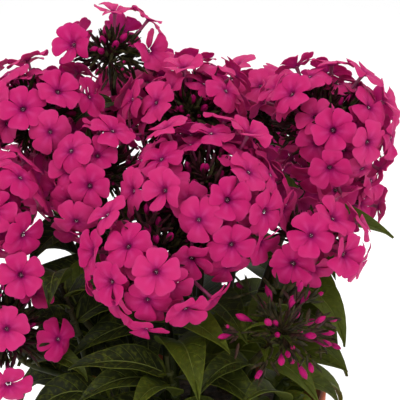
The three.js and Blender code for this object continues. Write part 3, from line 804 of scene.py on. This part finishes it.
petalFront, petalBack = petalFinish("petalFront", 0.0), petalFinish("petalBack", petalLook["backPaleness"])
tubeSkin, budSkin, calyxSkin, toothSkin = tubeFinish(), budFinish(), calyxFinish(), toothFinish()
throatShadeSkin = plainFinish("flowerThroat")
antherHighlightSkin = plainFinish("anther")
floorSkin = plainFinish("paleFloor")
leafFront, leafBack = leafFinish("leafFront", 0.0), leafFinish("leafBack", leafLook["backShare"])
stemSkin, potSkin, soilSkin, gritSkin = stemFinish(), potFinish(), soilFinish(), gritFinish()
print("materials ready")


# Hand work: selecting, shaping and copying.
def chooseNone():
    bpy.ops.object.select_all(action="DESELECT")


def chooseOnly(piece):
    chooseNone()
    piece.select_set(True)
    bpy.context.view_layer.objects.active = piece


def openMesh(piece):
    chooseOnly(piece)
    bpy.ops.object.mode_set(mode="EDIT")
    bpy.ops.mesh.select_all(action="DESELECT")


def closeMesh():
    bpy.ops.object.mode_set(mode="OBJECT")


def pick(piece, kind, test):  # in edit mode: select the points, edges or faces that pass a test
    bpy.ops.mesh.select_mode(type=kind)
    bpy.ops.mesh.select_all(action="DESELECT")
    mesh = bmesh.from_edit_mesh(piece.data)
    for item in {"VERT": mesh.verts, "EDGE": mesh.edges, "FACE": mesh.faces}[kind]:
        if test(item):
            item.select_set(True)
    mesh.select_flush_mode()
    bmesh.update_edit_mesh(piece.data)


def applyModifier(piece, kind, **settings):
    chooseOnly(piece)
    modifier = piece.modifiers.new(kind.lower(), kind)
    for key, value in settings.items():
        setattr(modifier, key, value)
    bpy.ops.object.modifier_apply(modifier=modifier.name)


def thicken(piece, thickness):  # the second skin goes on the back
    applyModifier(piece, "SOLIDIFY", thickness=thickness * mm, offset=-1, material_offset=1,
                  material_offset_rim=0)


def smooth(piece, angle):
    chooseOnly(piece)
    bpy.ops.object.shade_smooth_by_angle(angle=math.radians(angle))


def settle(piece):  # bring the object to the origin, with its place in its mesh
    chooseOnly(piece)
    bpy.ops.object.transform_apply(location=True, rotation=True, scale=True)


def coat(piece, *skins):
    piece.data.materials.clear()
    for skin in skins:
        piece.data.materials.append(skin)


def setTone(piece, value):
    marks = piece.data.attributes.get("tone") or piece.data.attributes.new("tone", "FLOAT", "POINT")
    marks.data.foreach_set("value", np.full(len(piece.data.vertices), value, np.float32))


def copyOf(master, matrix, tone):
    copy = bpy.data.objects.new(master.name, master.data.copy())
    bpy.context.scene.collection.objects.link(copy)
    copy.data.transform(matrix)
    setTone(copy, tone)
    return copy


def join(name, pieces):
    chooseNone()
    for piece in pieces:
        piece.select_set(True)
    bpy.context.view_layer.objects.active = pieces[0]
    bpy.ops.object.join()
    whole = bpy.context.object
    whole.name = whole.data.name = name
    return whole


def turnProfile(name, rings, sides):  # a closed turned piece: a disc is drawn out ring after ring
    (radius, height), *rest = [(ringRadius * mm, ringHeight * mm) for ringRadius, ringHeight in rings]
    chooseNone()
    bpy.ops.mesh.primitive_circle_add(vertices=sides, radius=radius, fill_type="NGON",
                                      location=(0, 0, height))
    piece = bpy.context.object
    piece.name = name
    settle(piece)
    openMesh(piece)
    bpy.ops.mesh.select_all(action="SELECT")
    bpy.ops.mesh.flip_normals()
    for nextRadius, nextHeight in rest:
        grow = nextRadius / radius
        bpy.ops.mesh.extrude_region_move(TRANSFORM_OT_translate={"value": (0, 0, nextHeight - height)})
        bpy.ops.transform.resize(value=(grow, grow, 1), center_override=(0, 0, 0))
        radius, height = nextRadius, nextHeight
    bpy.ops.mesh.edge_face_add()
    bpy.ops.mesh.select_all(action="SELECT")
    bpy.ops.mesh.normals_make_consistent(inside=False)
    closeMesh()
    return piece


def standing(at, direction, spin=0.0, scale=1.0):  # from a shape made along Z to its place on the plant
    turn = Vector((0, 0, 1)).rotation_difference(Vector(direction)).to_matrix().to_4x4()
    return (Matrix.Translation(Vector(at) * mm) @ turn @ Matrix.Rotation(spin, 4, "Z")
            @ Matrix.Diagonal((scale, scale, scale, 1)))


# One flower, in a few forms.
petal = {
    # radius from the throat, half width, height: a narrow claw and a broad blade, gently rolled back
    "rows": [[1.1, 0.95, -1.3], [2.5, 2.0, -0.25], [4.6, 3.55, 0.3], [6.9, 5.1, 0.5], [9.2, 6.05, 0.3],
             [11.3, 5.9, -0.1], [12.6, 4.7, -0.4], [13.2, 2.7, -0.6]],
    "columns": 4, "thick": 0.3, "groove": 0.22, "grooveTo": 11.5, "notchFrom": 12.5, "notch": 0.35,
    "half": 5.7, "waves": 5.5, "cup": 0.9, "loose": 18, "turn": 0.2, "looseFan": 3,
    "waving": [0.7, 1.9], "curling": [0.4, 1.6], "aside": 0.1,
}
forms = [  # degrees that the petals are raised, turned like a fan and twisted; the curl of the tips, the wave
    {"raise": 2, "fan": 7, "twist": 6, "curl": 0.3, "wave": 0.5},
    {"raise": 11, "fan": 8, "twist": 12, "curl": -1.0, "wave": 0.8},
    {"raise": -11, "fan": 6, "twist": 16, "curl": 1.2, "wave": 0.9},
    {"raise": -3, "fan": 9, "twist": 20, "curl": -1.6, "wave": 1.1},
    {"raise": 6, "fan": 5, "twist": 16, "curl": 1.8, "wave": 0.7},
    {"raise": 18, "fan": 8, "twist": 18, "curl": -0.8, "wave": 1.0},
]
tube = {
    "sides": 8, "throatAbove": -2.5, "throatFacing": 0.1,
    # radius and height, from inside the throat over the lip and down to the foot
    "rings": [[0.56, -2.4], [0.896, -1.5], [1.12, -1.15], [1.2544, -1.3], [1, -5], [1, -13], [0.85, -20]],
}
anther = {"radius": 0.17, "away": 0.5, "height": -0.8, "stretch": (1, 0.7, 1.5), "turns": (0.4, 2.3, 4.4)}


def isMidline(vertex):
    return abs(vertex.co.y) < 0.01 * mm


def modelPetal():
    rows, aside = petal["rows"], petal["aside"]  # shaped rows wait to one side, past those still to come
    chooseNone()
    bpy.ops.mesh.primitive_grid_add(x_subdivisions=len(rows) - 1, y_subdivisions=petal["columns"],
                                    size=2 * mm)
    piece = bpy.context.object
    piece.name = "petal"
    openMesh(piece)
    step = 2 / (len(rows) - 1)
    for index, (radius, half, height) in enumerate(rows):
        x = (-1 + step * index) * mm
        pick(piece, "VERT", lambda vertex: abs(vertex.co.x - x) < 0.1 * step * mm)
        bpy.ops.transform.resize(value=(1, half, 1), center_override=(x, 0, 0))
        bpy.ops.transform.translate(value=(radius * mm + aside - x, 0, height * mm))
    bpy.ops.mesh.select_all(action="SELECT")
    bpy.ops.transform.translate(value=(-aside, 0, 0))
    pick(piece, "VERT", lambda vertex: isMidline(vertex) and vertex.co.x < petal["grooveTo"] * mm)
    bpy.ops.transform.translate(value=(0, 0, -petal["groove"] * mm))
    pick(piece, "VERT", lambda vertex: isMidline(vertex) and vertex.co.x > petal["notchFrom"] * mm)
    bpy.ops.transform.translate(value=(-petal["notch"] * mm, 0, 0))
    closeMesh()
    return piece


def modelTube():
    piece = turnProfile("tube", tube["rings"], tube["sides"])
    coat(piece, tubeSkin, throatShadeSkin)
    # The throat's faces take the dark painted shade.
    for face in piece.data.polygons:
        isThroat = face.center.z > tube["throatAbove"] * mm and face.normal.z > tube["throatFacing"]
        face.material_index = int(isThroat)
    return piece


def modelAnther(angle):
    away = anther["away"] * mm
    chooseNone()
    bpy.ops.mesh.primitive_ico_sphere_add(
        subdivisions=1, radius=anther["radius"] * mm,
        location=(away * math.cos(angle), away * math.sin(angle), anther["height"] * mm))
    piece = bpy.context.object
    piece.scale = anther["stretch"]
    settle(piece)
    coat(piece, antherHighlightSkin)
    return piece


def modelFlower(form, number):
    draw = seededDraw(firstSeed["forms"] + number)
    master = modelPetal()
    parts = []
    for side in range(flower["petals"]):
        copy = copyOf(master, Matrix.Identity(4), 0)
        wave, phase = form["wave"] * between(draw, petal["waving"]), draw() * fullTurn
        twist = math.radians(form["twist"] * (draw() * 2 - 1))
        curl = form["curl"] * between(draw, petal["curling"])
        for vertex in copy.data.vertices:
            x, y = vertex.co.x / mm, vertex.co.y / mm
            share, edge = x / flower["radius"], y / petal["half"]
            ripple = wave * edge ** 2 * math.sin(share * petal["waves"] + phase)
            vertex.co.z += mm * (ripple - petal["cup"] * share * edge ** 2
                                 + y * math.sin(twist * share) - curl * share ** 3)
        turn = (side + 0.5) * fullTurn / flower["petals"] + (draw() - 0.5) * petal["turn"]
        lift = math.radians(form["raise"] + (draw() - 0.5) * petal["loose"])
        fan = math.radians(form["fan"] + (draw() - 0.5) * petal["looseFan"])
        copy.data.transform(Matrix.Rotation(turn, 4, "Z") @ Matrix.Rotation(-lift, 4, "Y")
                            @ Matrix.Rotation(fan, 4, "X"))
        parts.append(copy)
    bpy.data.objects.remove(master)
    whole = join("petals", parts)
    coat(whole, petalFront, petalBack)
    thicken(whole, petal["thick"])
    whole = join("flower%d" % number, [whole, modelTube(), *[modelAnther(turn) for turn in anther["turns"]]])
    smooth(whole, 60)
    return whole


# Calyces, and the buds in them.
calyx = {"sides": 10, "rings": [[0.5, 0], [1.05, 2.4], [1.15, 6], [0.8, 5.2]], "toothFrom": 5.8, "tooth": 4.2,
         "tipsAbove": 7.6, "open": 1.25, "closed": 0.5}
cyme = {"kinds": 3, "calyces": 6, "lean": 62, "leaning": [0.35, 1], "reach": 5.5, "sizes": [0.75, 1.1],
        "tones": [0.2, 1], "bare": 0.72, "tipAt": 4.6, "tipSize": 0.8}
budShapes = {
    "longBud": {"length": 12, "girth": 2.1, "belly": 1.6},
    "roundBud": {"length": 5.5, "girth": 1.7, "belly": 1.2},
    "segments": 8, "rings": 7, "blunt": 0.8,
}


def modelCalyx(name, flare):  # its five teeth stand apart or close to a point
    piece = turnProfile(name, calyx["rings"], calyx["sides"])
    openMesh(piece)
    step = fullTurn / calyx["sides"]
    pick(piece, "VERT", lambda vertex: vertex.co.z > calyx["toothFrom"] * mm
         and round((math.atan2(vertex.co.y, vertex.co.x) % fullTurn) / step) % 2 == 0)
    bpy.ops.transform.translate(value=(0, 0, calyx["tooth"] * mm))
    bpy.ops.transform.resize(value=(flare, flare, 1), center_override=(0, 0, 0))
    closeMesh()
    coat(piece, calyxSkin, toothSkin)
    for face in piece.data.polygons:
        face.material_index = int(face.center.z > calyx["tipsAbove"] * mm)
    smooth(piece, 35)
    return piece


def modelCyme(name, draw, tips):  # a small spray of calyces close together, or the bud tips in them
    parts = []
    for side in range(cyme["calyces"]):
        lean = math.radians(cyme["lean"] * between(draw, cyme["leaning"]) * (side > 0))
        turn = side * goldenAngle
        outward = (math.sin(lean) * math.cos(turn), math.sin(lean) * math.sin(turn), math.cos(lean))
        away = 1 + cyme["reach"] * draw()
        size, tone = between(draw, cyme["sizes"]), between(draw, cyme["tones"])
        hasTip = draw() > cyme["bare"] or side == 0
        at = [part * away for part in outward]
        if not tips:
            parts.append(copyOf(closedCalyx, standing(at, outward, turn, size), tone))
        elif hasTip:
            tip = [part * (away + cyme["tipAt"] * size) for part in outward]
            parts.append(copyOf(roundBud, standing(tip, outward, turn, size * cyme["tipSize"]), 0))
    return join(name, parts)


def modelBud(name):
    length, girth, belly = budShapes[name].values()
    chooseNone()
    bpy.ops.mesh.primitive_uv_sphere_add(segments=budShapes["segments"], ring_count=budShapes["rings"],
                                         radius=1)
    piece = bpy.context.object
    piece.name = name
    for vertex in piece.data.vertices:
        share = (vertex.co.z + 1) / 2
        width = girth * math.sin(math.pi * share ** belly) ** budShapes["blunt"] if 0 < share < 1 else 0
        around = math.hypot(vertex.co.x, vertex.co.y) or 1
        vertex.co = Vector((vertex.co.x / around * width, vertex.co.y / around * width, share * length)) * mm
    marks = piece.data.uv_layers.active.data
    for loop in piece.data.loops:  # the map runs from the bud's foot to its tip
        place = piece.data.vertices[loop.vertex_index].co
        angle = math.atan2(place.y, place.x) / fullTurn
        marks[loop.index].uv = (place.z / (length * mm), 0.5 + angle * 0.5)
    coat(piece, budSkin)
    smooth(piece, 60)
    return piece


# One leaf, made flat and then laid along the arch of each leaf.
flatLeaf = {"rows": 14, "columns": 6, "bractRows": 8, "bractColumns": 4, "ends": [0.004, 0.985],
            "leastHalf": 0.35, "thick": 0.5, "groove": 0.35, "ribDepth": 0.7, "underFrom": 0.6,
            "waves": 13, "thickFrom": 0.2, "aside": 0.2}


def modelLeaf(name, rows, columns):
    aside = flatLeaf["aside"]
    chooseNone()
    bpy.ops.mesh.primitive_grid_add(x_subdivisions=rows, y_subdivisions=columns, size=2 * mm)
    piece = bpy.context.object
    piece.name = name
    openMesh(piece)
    for row in range(rows + 1):
        share = row / rows
        x = (-1 + 2 * share) * mm
        pick(piece, "VERT", lambda vertex: abs(vertex.co.x - x) < 0.02 * mm)
        half = max(float(halfWidth(share)) * leaf["width"], flatLeaf["leastHalf"])
        bpy.ops.transform.resize(value=(1, half, 1), center_override=(x, 0, 0))
        bpy.ops.transform.translate(value=(share * leaf["length"] * mm + aside - x, 0, 0))
    bpy.ops.mesh.select_all(action="SELECT")
    bpy.ops.transform.translate(value=(-aside, 0, 0))
    pick(piece, "VERT", isMidline)
    bpy.ops.transform.translate(value=(0, 0, -flatLeaf["groove"] * mm))
    closeMesh()
    coat(piece, leafFront, leafBack)
    thicken(piece, flatLeaf["thick"])
    openMesh(piece)
    under = -flatLeaf["underFrom"] * flatLeaf["thick"] * mm
    pick(piece, "VERT", lambda vertex: abs(vertex.co.y) < 0.05 * mm and vertex.co.z < under)
    bpy.ops.transform.translate(value=(0, 0, -flatLeaf["ribDepth"] * mm))
    closeMesh()
    smooth(piece, 50)
    return piece


def layLeaf(master, place, wave, phase, tone):  # a copy of the flat leaf, laid along its arch
    copy = copyOf(master, Matrix.Identity(4), tone)
    flat = np.zeros(len(copy.data.vertices) * 3)
    copy.data.vertices.foreach_get("co", flat)
    flat = flat.reshape(-1, 3) / mm
    share = np.clip(flat[:, 0] / leaf["length"], *flatLeaf["ends"])
    half = np.maximum(halfWidth(share) * leaf["width"], flatLeaf["leastHalf"])
    across = flat[:, 1] / half
    size = place["width"] / leaf["width"]
    ripple = wave * size * across ** 2 * np.sin(share * flatLeaf["waves"] + phase)
    over = flat[:, 2] * min(1, size + flatLeaf["thickFrom"]) + ripple
    copy.data.vertices.foreach_set("co", (bladePlaces(place, share, across, over) * mm).ravel())
    copy.data.update()
    return copy


# Stems, with their collars and leaves.
collar = {"size": 1.28, "flat": 0.75, "segments": 10, "rings": 6}
# Leaf tones: lower, older leaves darker, partly their own deeper green and partly painted shade under the
# heads; leaves towards the right lighter, as painted light.
stemLook = {"foot": 2.5, "top": 1.9, "shootTop": 1.2, "bevel": 3, "steps": 28, "skinTone": 0.5,
            "wave": [0.44, 1.54], "tone": [0.04, 0.66], "olderAndShaded": 0.35, "sunny": 0.6}


def drawTubes(name, lines, bevelSteps, steps, skin):
    # each line: foot, its handle, the tip's handle, tip, radius at the foot and at the tip, in millimetres
    chooseNone()
    bpy.ops.curve.primitive_bezier_curve_add()
    drawn = bpy.context.object
    drawn.location = (0, 0, 0)
    data = drawn.data
    data.dimensions, data.fill_mode, data.use_fill_caps = "3D", "FULL", True
    data.bevel_depth, data.bevel_resolution, data.resolution_u = mm, bevelSteps, steps
    data.splines.clear()
    for foot, low, high, tip, thick, thin in lines:
        spline = data.splines.new("BEZIER")
        spline.bezier_points.add(1)
        first, last = spline.bezier_points
        for point in (first, last):
            point.handle_left_type = point.handle_right_type = "FREE"
        first.co, first.handle_right = Vector(foot) * mm, Vector(low) * mm
        first.handle_left = Vector(foot) * mm * 2 - Vector(low) * mm
        last.co, last.handle_left = Vector(tip) * mm, Vector(high) * mm
        last.handle_right = Vector(tip) * mm * 2 - Vector(high) * mm
        first.radius, last.radius = thick, thin
    data.materials.append(skin)
    chooseOnly(drawn)
    bpy.ops.object.convert(target="MESH")
    drawn = bpy.context.object
    drawn.name = drawn.data.name = name
    openMesh(drawn)
    bpy.ops.mesh.select_all(action="SELECT")
    bpy.ops.mesh.remove_doubles(threshold=tiny)
    bpy.ops.mesh.normals_make_consistent(inside=False)
    closeMesh()
    smooth(drawn, 50)
    return drawn


def modelCollar():  # the swelling where a pair of leaves stands
    chooseNone()
    bpy.ops.mesh.primitive_uv_sphere_add(segments=collar["segments"], ring_count=collar["rings"],
                                         radius=stem["radius"] * collar["size"] * mm)
    piece = bpy.context.object
    piece.name = "collar"
    piece.scale = (1, 1, collar["flat"])
    settle(piece)
    coat(piece, stemSkin)
    smooth(piece, 60)
    return piece


leafMaster, collarMaster = modelLeaf("leaf", flatLeaf["rows"], flatLeaf["columns"]), modelCollar()
bractMaster = modelLeaf("bract", flatLeaf["bractRows"], flatLeaf["bractColumns"])


def buildStem(plant):
    draw = seededDraw(plant["seed"] + firstSeed["stems"])
    top = stemLook["top" if plant in heads else "shootTop"]
    line = (*plant["curve"], stemLook["foot"], top)
    parts = [drawTubes("stem", [line], stemLook["bevel"], stemLook["steps"], stemSkin)]
    setTone(parts[0], stemLook["skinTone"])
    starts = {tuple(np.round(place["start"], 3)) for place in plant["leaves"]}
    for start in sorted(starts):
        near = np.argmin(np.linalg.norm(plant["path"] - np.array(start), axis=1))
        direction = plant["path"][min(near + 1, stem["steps"])] - plant["path"][max(near - 1, 0)]
        parts.append(copyOf(collarMaster, standing(start, unit(direction)), stemLook["skinTone"]))
    for place in plant["leaves"]:
        tip = place["outer"][-1]
        # Painted shade on lower, older leaves under the heads, beside their own deeper green; painted light
        # on leaves towards the right.
        tone = (between(draw, stemLook["tone"]) - stemLook["olderAndShaded"] * place["age"]
                + stemLook["sunny"] * tip[0] / habit["reach"]["low"])
        parts.append(layLeaf(leafMaster, place, between(draw, stemLook["wave"]), draw() * fullTurn, tone))
    whole = join("leafyStem_" + plant["name"], parts)
    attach(whole, "root")
    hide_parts("stem_" + plant["name"])


for plant in plants:
    buildStem(plant)
print("stems and leaves built")


# Flower heads.
flowerMasters = [modelFlower(form, number) for number, form in enumerate(forms)]
calyxMaster, closedCalyx = modelCalyx("calyx", calyx["open"]), modelCalyx("closedCalyx", calyx["closed"])
longBud, roundBud = modelBud("longBud"), modelBud("roundBud")
cymeMasters = []
for number in range(cyme["kinds"]):
    seed = firstSeed["cymes"] + number
    cymeMasters.append((modelCyme("cyme%d" % number, seededDraw(seed), False),
                        modelCyme("cymeTips%d" % number, seededDraw(seed), True)))

headLook = {
    "flowerSizes": [0.97, 1.03], "calyxFoot": 25, "calyxWithin": 0.74, "calyxSize": 1.05, "budCalyxFoot": 21,
    "sprayLength": 12, "sprayDome": 0.8, "spraySizes": [0.85, 1.15], "sprayTurn": 3, "sprayLoose": 0.4,
    "tuckIn": 0.5, "longAt": 5, "longSize": 0.8,
    "gap": 4, "underTo": 100, "wholeTo": 118, "tallTo": 62,  # degrees from the dome's middle
}
sprayFields = ["apart", "reach", "loose", "tips", "long", "dry", "room"]
sprays = {
    # how far apart they stand, their tips' reach as shares of the head's radius, how loosely they point
    # outward, how many bear small and long buds, how purple they are, and the room that flowers need
    "middle": [8, [0.62, 0.94], 0.55, 0.22, 0.04, 1.0, 5],
    "under": [12.5, [0.5, 0.84], 0.85, 0.4, 0.08, 1.0, 5],
    "faded": [10.5, [0.5, 1.0], 0.9, 0.2, 0.05, 1.0, 13],
    "airy": [13, [0.5, 0.95], 1.1, 0.2, 0.08, 0.8, 9],
    "budding": [20, [0.36, 1.08], 1.2, 0.2, 0.7, 0.7, 0],
    "tall": [10, [1.0, 1.4], 0.8, 0.3, 0.1, 1.0, 16],
}
sprays = {kind: dict(zip(sprayFields, row)) for kind, row in sprays.items()}
wholeZone = {"e": "airy", "i": "faded", "j": "budding"}  # heads whose dome bears sprays of one kind all over
twig = {"follow": 0.55, "lower": 0.22, "highest": 0.3, "bow": 0.4, "foot": 0.8, "tip": 0.5, "bevel": 1,
        "steps": 4, "tone": 0.38}
headStalk = {"below": 2, "handle": 0.4, "beyond": 0.3, "foot": 1.9, "tip": 0.8}
bract = {"count": 6, "budding": 13, "from": 0.15, "to": 0.96, "roll": 0.8, "rise": [30, 65],
         "bend": [-50, -90], "length": [15, 27], "width": [3.6, 6.6], "wave": 0.5, "tone": 0.6}


def twigLine(head, foot, direction):  # from the head's axis out to a calyx
    along = float(np.dot(foot - head["centre"], head["axis"]))
    low = min(max(along * twig["follow"] - head["radius"] * twig["lower"], -head["radius"] * core["stalk"]),
              head["radius"] * twig["highest"])
    start = head["centre"] + head["axis"] * low
    bow = float(np.linalg.norm(foot - start)) * twig["bow"]
    return start, start + unit(foot - start + head["axis"] * bow) * bow, foot - direction * bow, foot, \
        twig["foot"], twig["tip"]


def addFlowers(head, draw, made):
    for one in head["flowers"] + head["tucked"]:
        master = flowerMasters[int(draw() * len(flowerMasters))]
        size = one["size"] * between(draw, headLook["flowerSizes"])
        made["bright"].append(copyOf(master, standing(one["at"], one["normal"], one["spin"], size), draw()))
        away = min(headLook["calyxFoot"], head["radius"] * headLook["calyxWithin"])
        foot = one["at"] - one["normal"] * away
        place = standing(foot, one["normal"], draw() * fullTurn, headLook["calyxSize"])
        made["green"].append(copyOf(calyxMaster, place, draw()))
        made["lines"].append(twigLine(head, foot, one["normal"]))


def addBuds(head, draw, made):
    for outward in head["buds"]:
        tip = head["centre"] + outward * head["radius"] * bud["reach"]
        foot = tip - outward * headLook["budCalyxFoot"]
        place = standing(tip - outward * budShapes["longBud"]["length"], outward, draw() * fullTurn)
        made["bright"].append(copyOf(longBud, place, draw()))
        made["green"].append(copyOf(calyxMaster, standing(foot, outward, draw() * fullTurn), draw()))
        made["lines"].append(twigLine(head, foot, outward))


def addSprays(head, draw, made, kind, start, end):
    look, length = sprays[kind], headLook["sprayLength"]
    high, low = cosineOf(start), cosineOf(end)
    count = int(fullTurn * (high - low) * (head["radius"] * headLook["sprayDome"] / look["apart"]) ** 2)
    for step in range(count):
        cosine = high - (high - low) * (step + 0.5) / count
        angle = head["seed"] * headLook["sprayTurn"] + step * goldenAngle + draw() * headLook["sprayLoose"]
        outward = aroundAxis(head["axis"], cosine, angle)
        foot = head["centre"] + outward * (head["radius"] * between(draw, look["reach"]) - length)
        astray = np.array([draw() - 0.5 for _ in range(3)])
        outward = unit(outward + astray * look["loose"])
        ahead = foot + outward * length
        if any(np.linalg.norm(one["at"] - ahead) < look["room"] for one in head["flowers"] + head["tucked"]):
            # it would run into that flower, so it stands in behind it
            foot = head["centre"] + (foot - head["centre"]) * headLook["tuckIn"]
        size, turn = between(draw, headLook["spraySizes"]), draw() * fullTurn
        calyces, tips = cymeMasters[int(draw() * len(cymeMasters))]
        made["green"].append(copyOf(calyces, standing(foot, outward, turn, size), draw() * look["dry"]))
        made["lines"].append(twigLine(head, foot, outward))
        if draw() < look["tips"]:
            made["bright"].append(copyOf(tips, standing(foot, outward, turn, size), draw()))
        if draw() < look["long"]:
            place = standing(foot + outward * headLook["longAt"], outward, turn, headLook["longSize"])
            made["bright"].append(copyOf(longBud, place, draw()))


def addBracts(head, draw, made):
    rise = head["radius"] * core["stalk"]
    count = bract["count" if head["open"] else "budding"]
    for step in range(count):
        along = rise * (bract["from"] + bract["to"] * step / count)
        place = {"start": head["top"] + head["axis"] * along, "azimuth": head["seed"] + step * goldenAngle,
                 "roll": (draw() - 0.5) * bract["roll"], "rise": math.radians(between(draw, bract["rise"])),
                 "bend": math.radians(between(draw, bract["bend"])),
                 "length": between(draw, bract["length"]), "width": between(draw, bract["width"])}
        made["green"].append(
            layLeaf(bractMaster, place, bract["wave"], draw() * fullTurn, draw() * bract["tone"]))


def buildHead(head):
    draw = seededDraw(head["seed"] + firstSeed["sprays"])
    name, centre, radius, axis = head["name"], head["centre"], head["radius"], head["axis"]
    made = {"bright": [], "green": [], "lines": []}
    addFlowers(head, draw, made)
    addBuds(head, draw, made)
    zones = [("middle", 0, head["from"] - headLook["gap"]),
             ("under", head["from"], max(head["to"], headLook["underTo"]))]
    if name in wholeZone:
        zones = [(wholeZone[name], 0, headLook["wholeTo"])]
    if name in late:
        zones.append(("tall", 0, headLook["tallTo"]))
    for kind, start, end in zones:
        addSprays(head, draw, made, kind, start, end)
    addBracts(head, draw, made)
    top = head["top"]
    handle = top + axis * radius * core["stalk"] * headStalk["handle"]
    made["lines"].append((top - axis * headStalk["below"], handle, centre,
                          centre + axis * radius * headStalk["beyond"], headStalk["foot"], headStalk["tip"]))
    twigs = drawTubes("twigs", made["lines"], twig["bevel"], twig["steps"], calyxSkin)
    setTone(twigs, twig["tone"])
    inside = join("branches_" + name, [twigs] + made["green"])
    outside = join("flowers_" + name, made["bright"])
    for whole in (inside, outside):
        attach(whole, "root")
        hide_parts("head_" + name)


for head in heads:
    buildHead(head)
masters = [leafMaster, bractMaster, collarMaster, calyxMaster, closedCalyx, longBud, roundBud, *flowerMasters]
for master in masters + [master for pair in cymeMasters for master in pair]:
    bpy.data.objects.remove(master)
print("flower heads built")


# The pot and the soil in it.
potLook = {
    "sides": 96, "arc": 6, "rimRise": 1.6, "ledge": 1.2, "drainSides": 24,
    # steps out and up: from the body's top under the band, and from the band's own foot
    "underBand": [[0, -0.6], [0.5, 0]], "bandFoot": [[-0.6, 0.2], [0, 0.9]],
}
bodyTop = pot["height"] - pot["bandHeight"]
bodyTopRadius = pot["rimRadius"] - pot["bandStep"] - pot["bandTaper"]
shoulder = bodyTop - pot["shoulder"]


def bodyRadius(height):
    return pot["baseRadius"] + (bodyTopRadius - pot["baseRadius"]) * height / bodyTop


def wallRadius(height):
    share = (height - pot["floor"]) / (shoulder - pot["floor"])
    return pot["baseRadius"] + (bodyTopRadius - pot["baseRadius"]) * share - pot["wall"]


def potProfile():
    arc, bevel = potLook["arc"], pot["footBevel"]
    profile = [(pot["baseRadius"] - bevel * 2, 0.0)]
    for step in range(1, arc + 1):  # the rounded foot
        turn = step / arc * math.pi / 2
        profile.append((bodyRadius(0) - bevel * (1 - math.sin(turn)), bevel * (1 - math.cos(turn))))
    for ring in range(pot["rings"], 0, -1):  # the raised rings under the band
        low = bodyTop - pot["ringDrop"] - ring * pot["ringPitch"]
        for step in range(arc + 1):
            turn = step / arc * math.pi
            height = low + pot["ringHeight"] * step / arc
            profile.append((bodyRadius(height) + pot["ringDepth"] * math.sin(turn), height))
    bandRadius = pot["rimRadius"] - pot["bandTaper"]
    profile += [(bodyTopRadius + out, bodyTop + up) for out, up in potLook["underBand"]]
    profile += [(bandRadius + out, bodyTop + up) for out, up in potLook["bandFoot"]]
    half, rise = pot["lip"] / 2, potLook["rimRise"]
    for step in range(arc * 2 + 1):  # the rounded rim
        turn = step / (arc * 2) * math.pi
        profile.append((pot["rimRadius"] - half + half * math.cos(turn),
                        pot["height"] - rise + rise * math.sin(turn)))
    return profile + [(wallRadius(shoulder) + potLook["ledge"], bodyTop), (wallRadius(shoulder), shoulder),
                      (wallRadius(pot["floor"]), pot["floor"])]


def buildPot():
    piece = turnProfile("nurseryPot", potProfile(), potLook["sides"])
    away = pot["drainCircle"] * mm
    for drain in range(pot["drains"]):
        angle = (drain + 0.5) * fullTurn / pot["drains"]
        chooseNone()
        bpy.ops.mesh.primitive_cylinder_add(
            vertices=potLook["drainSides"], radius=pot["drainRadius"] * mm, depth=pot["floor"] * 3 * mm,
            location=(away * math.cos(angle), away * math.sin(angle), 0))
        drill = bpy.context.object
        applyModifier(piece, "BOOLEAN", object=drill, operation="DIFFERENCE", solver="EXACT")
        bpy.data.objects.remove(drill)
    coat(piece, potSkin)
    smooth(piece, 35)
    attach(piece, "root")
    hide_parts("pot")


soilLook = {
    "sides": 72, "aboveFloor": 0.3, "insets": 9, "inset": 8, "lumps": 1.2, "even": 0.3, "lumpsAbove": 0.2,
    "tone": 0.5, "fromEdge": 3, "proud": 0.5, "crumbRough": 0.35,
    "crumbs": 150, "crumbSizes": [1.0, 2.8], "grit": 26, "gritSizes": [0.8, 1.7],
}


def buildSoil():
    edge = wallRadius(shoulder) - soil["clear"]
    low = pot["floor"] + soilLook["aboveFloor"]
    piece = turnProfile("pottingSoil", [(wallRadius(low) - soil["clear"], low), (edge, shoulder),
                                        (edge, soil["edge"])], soilLook["sides"])
    openMesh(piece)
    pick(piece, "FACE", lambda face: face.normal.z > 0.9)
    for ring in range(soilLook["insets"]):
        bpy.ops.mesh.inset(thickness=soilLook["inset"] * mm)
        bpy.ops.transform.translate(value=(0, 0, soil["rise"] / soilLook["insets"] * mm))
    pick(piece, "VERT", lambda vertex: vertex.co.z > (soil["edge"] + soilLook["lumpsAbove"]) * mm)
    bpy.ops.transform.vertex_random(offset=soilLook["lumps"] * mm, uniform=soilLook["even"], seed=4)
    closeMesh()
    smooth(piece, 70)
    coat(piece, soilSkin)
    setTone(piece, soilLook["tone"])
    draw = seededDraw(firstSeed["crumbs"])
    parts = [piece]
    for skin, kind, sizes in ((soilSkin, "crumbs", "crumbSizes"), (gritSkin, "grit", "gritSizes")):
        small, large = soilLook[sizes]
        chooseNone()
        bpy.ops.mesh.primitive_ico_sphere_add(subdivisions=2, radius=mm)
        crumb = bpy.context.object
        openMesh(crumb)
        bpy.ops.mesh.select_all(action="SELECT")
        bpy.ops.transform.vertex_random(offset=soilLook["crumbRough"] * mm, seed=2)
        closeMesh()
        coat(crumb, skin)
        smooth(crumb, 50)
        for _ in range(soilLook[kind]):
            away, angle = (edge - soilLook["fromEdge"]) * math.sqrt(draw()), draw() * fullTurn
            height = soil["edge"] + soil["rise"] * (1 - away / edge) + soilLook["proud"]
            at = (away * math.cos(angle), away * math.sin(angle), height)
            tilt = unit(np.array([draw() - 0.5 for _ in range(3)]) + 1e-3)
            size = small + (large - small) * draw() ** 2
            parts.append(copyOf(crumb, standing(at, tilt, 0, size), soilLook["tone"]))
        bpy.data.objects.remove(crumb)
    whole = join("pottingSoil", parts)
    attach(whole, "root")
    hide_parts("soil")


buildPot()
buildSoil()
print("pot and soil built")


def buildStage():
    chooseNone()
    bpy.ops.mesh.primitive_plane_add(size=studio["floor"], location=(0, 0, 0))
    floor = bpy.context.object
    floor.name = "floor"
    coat(floor, floorSkin)


buildStage()
addLights()
addCamera()
bpy.context.scene.view_settings.view_transform = "Standard"

print("scene ready")
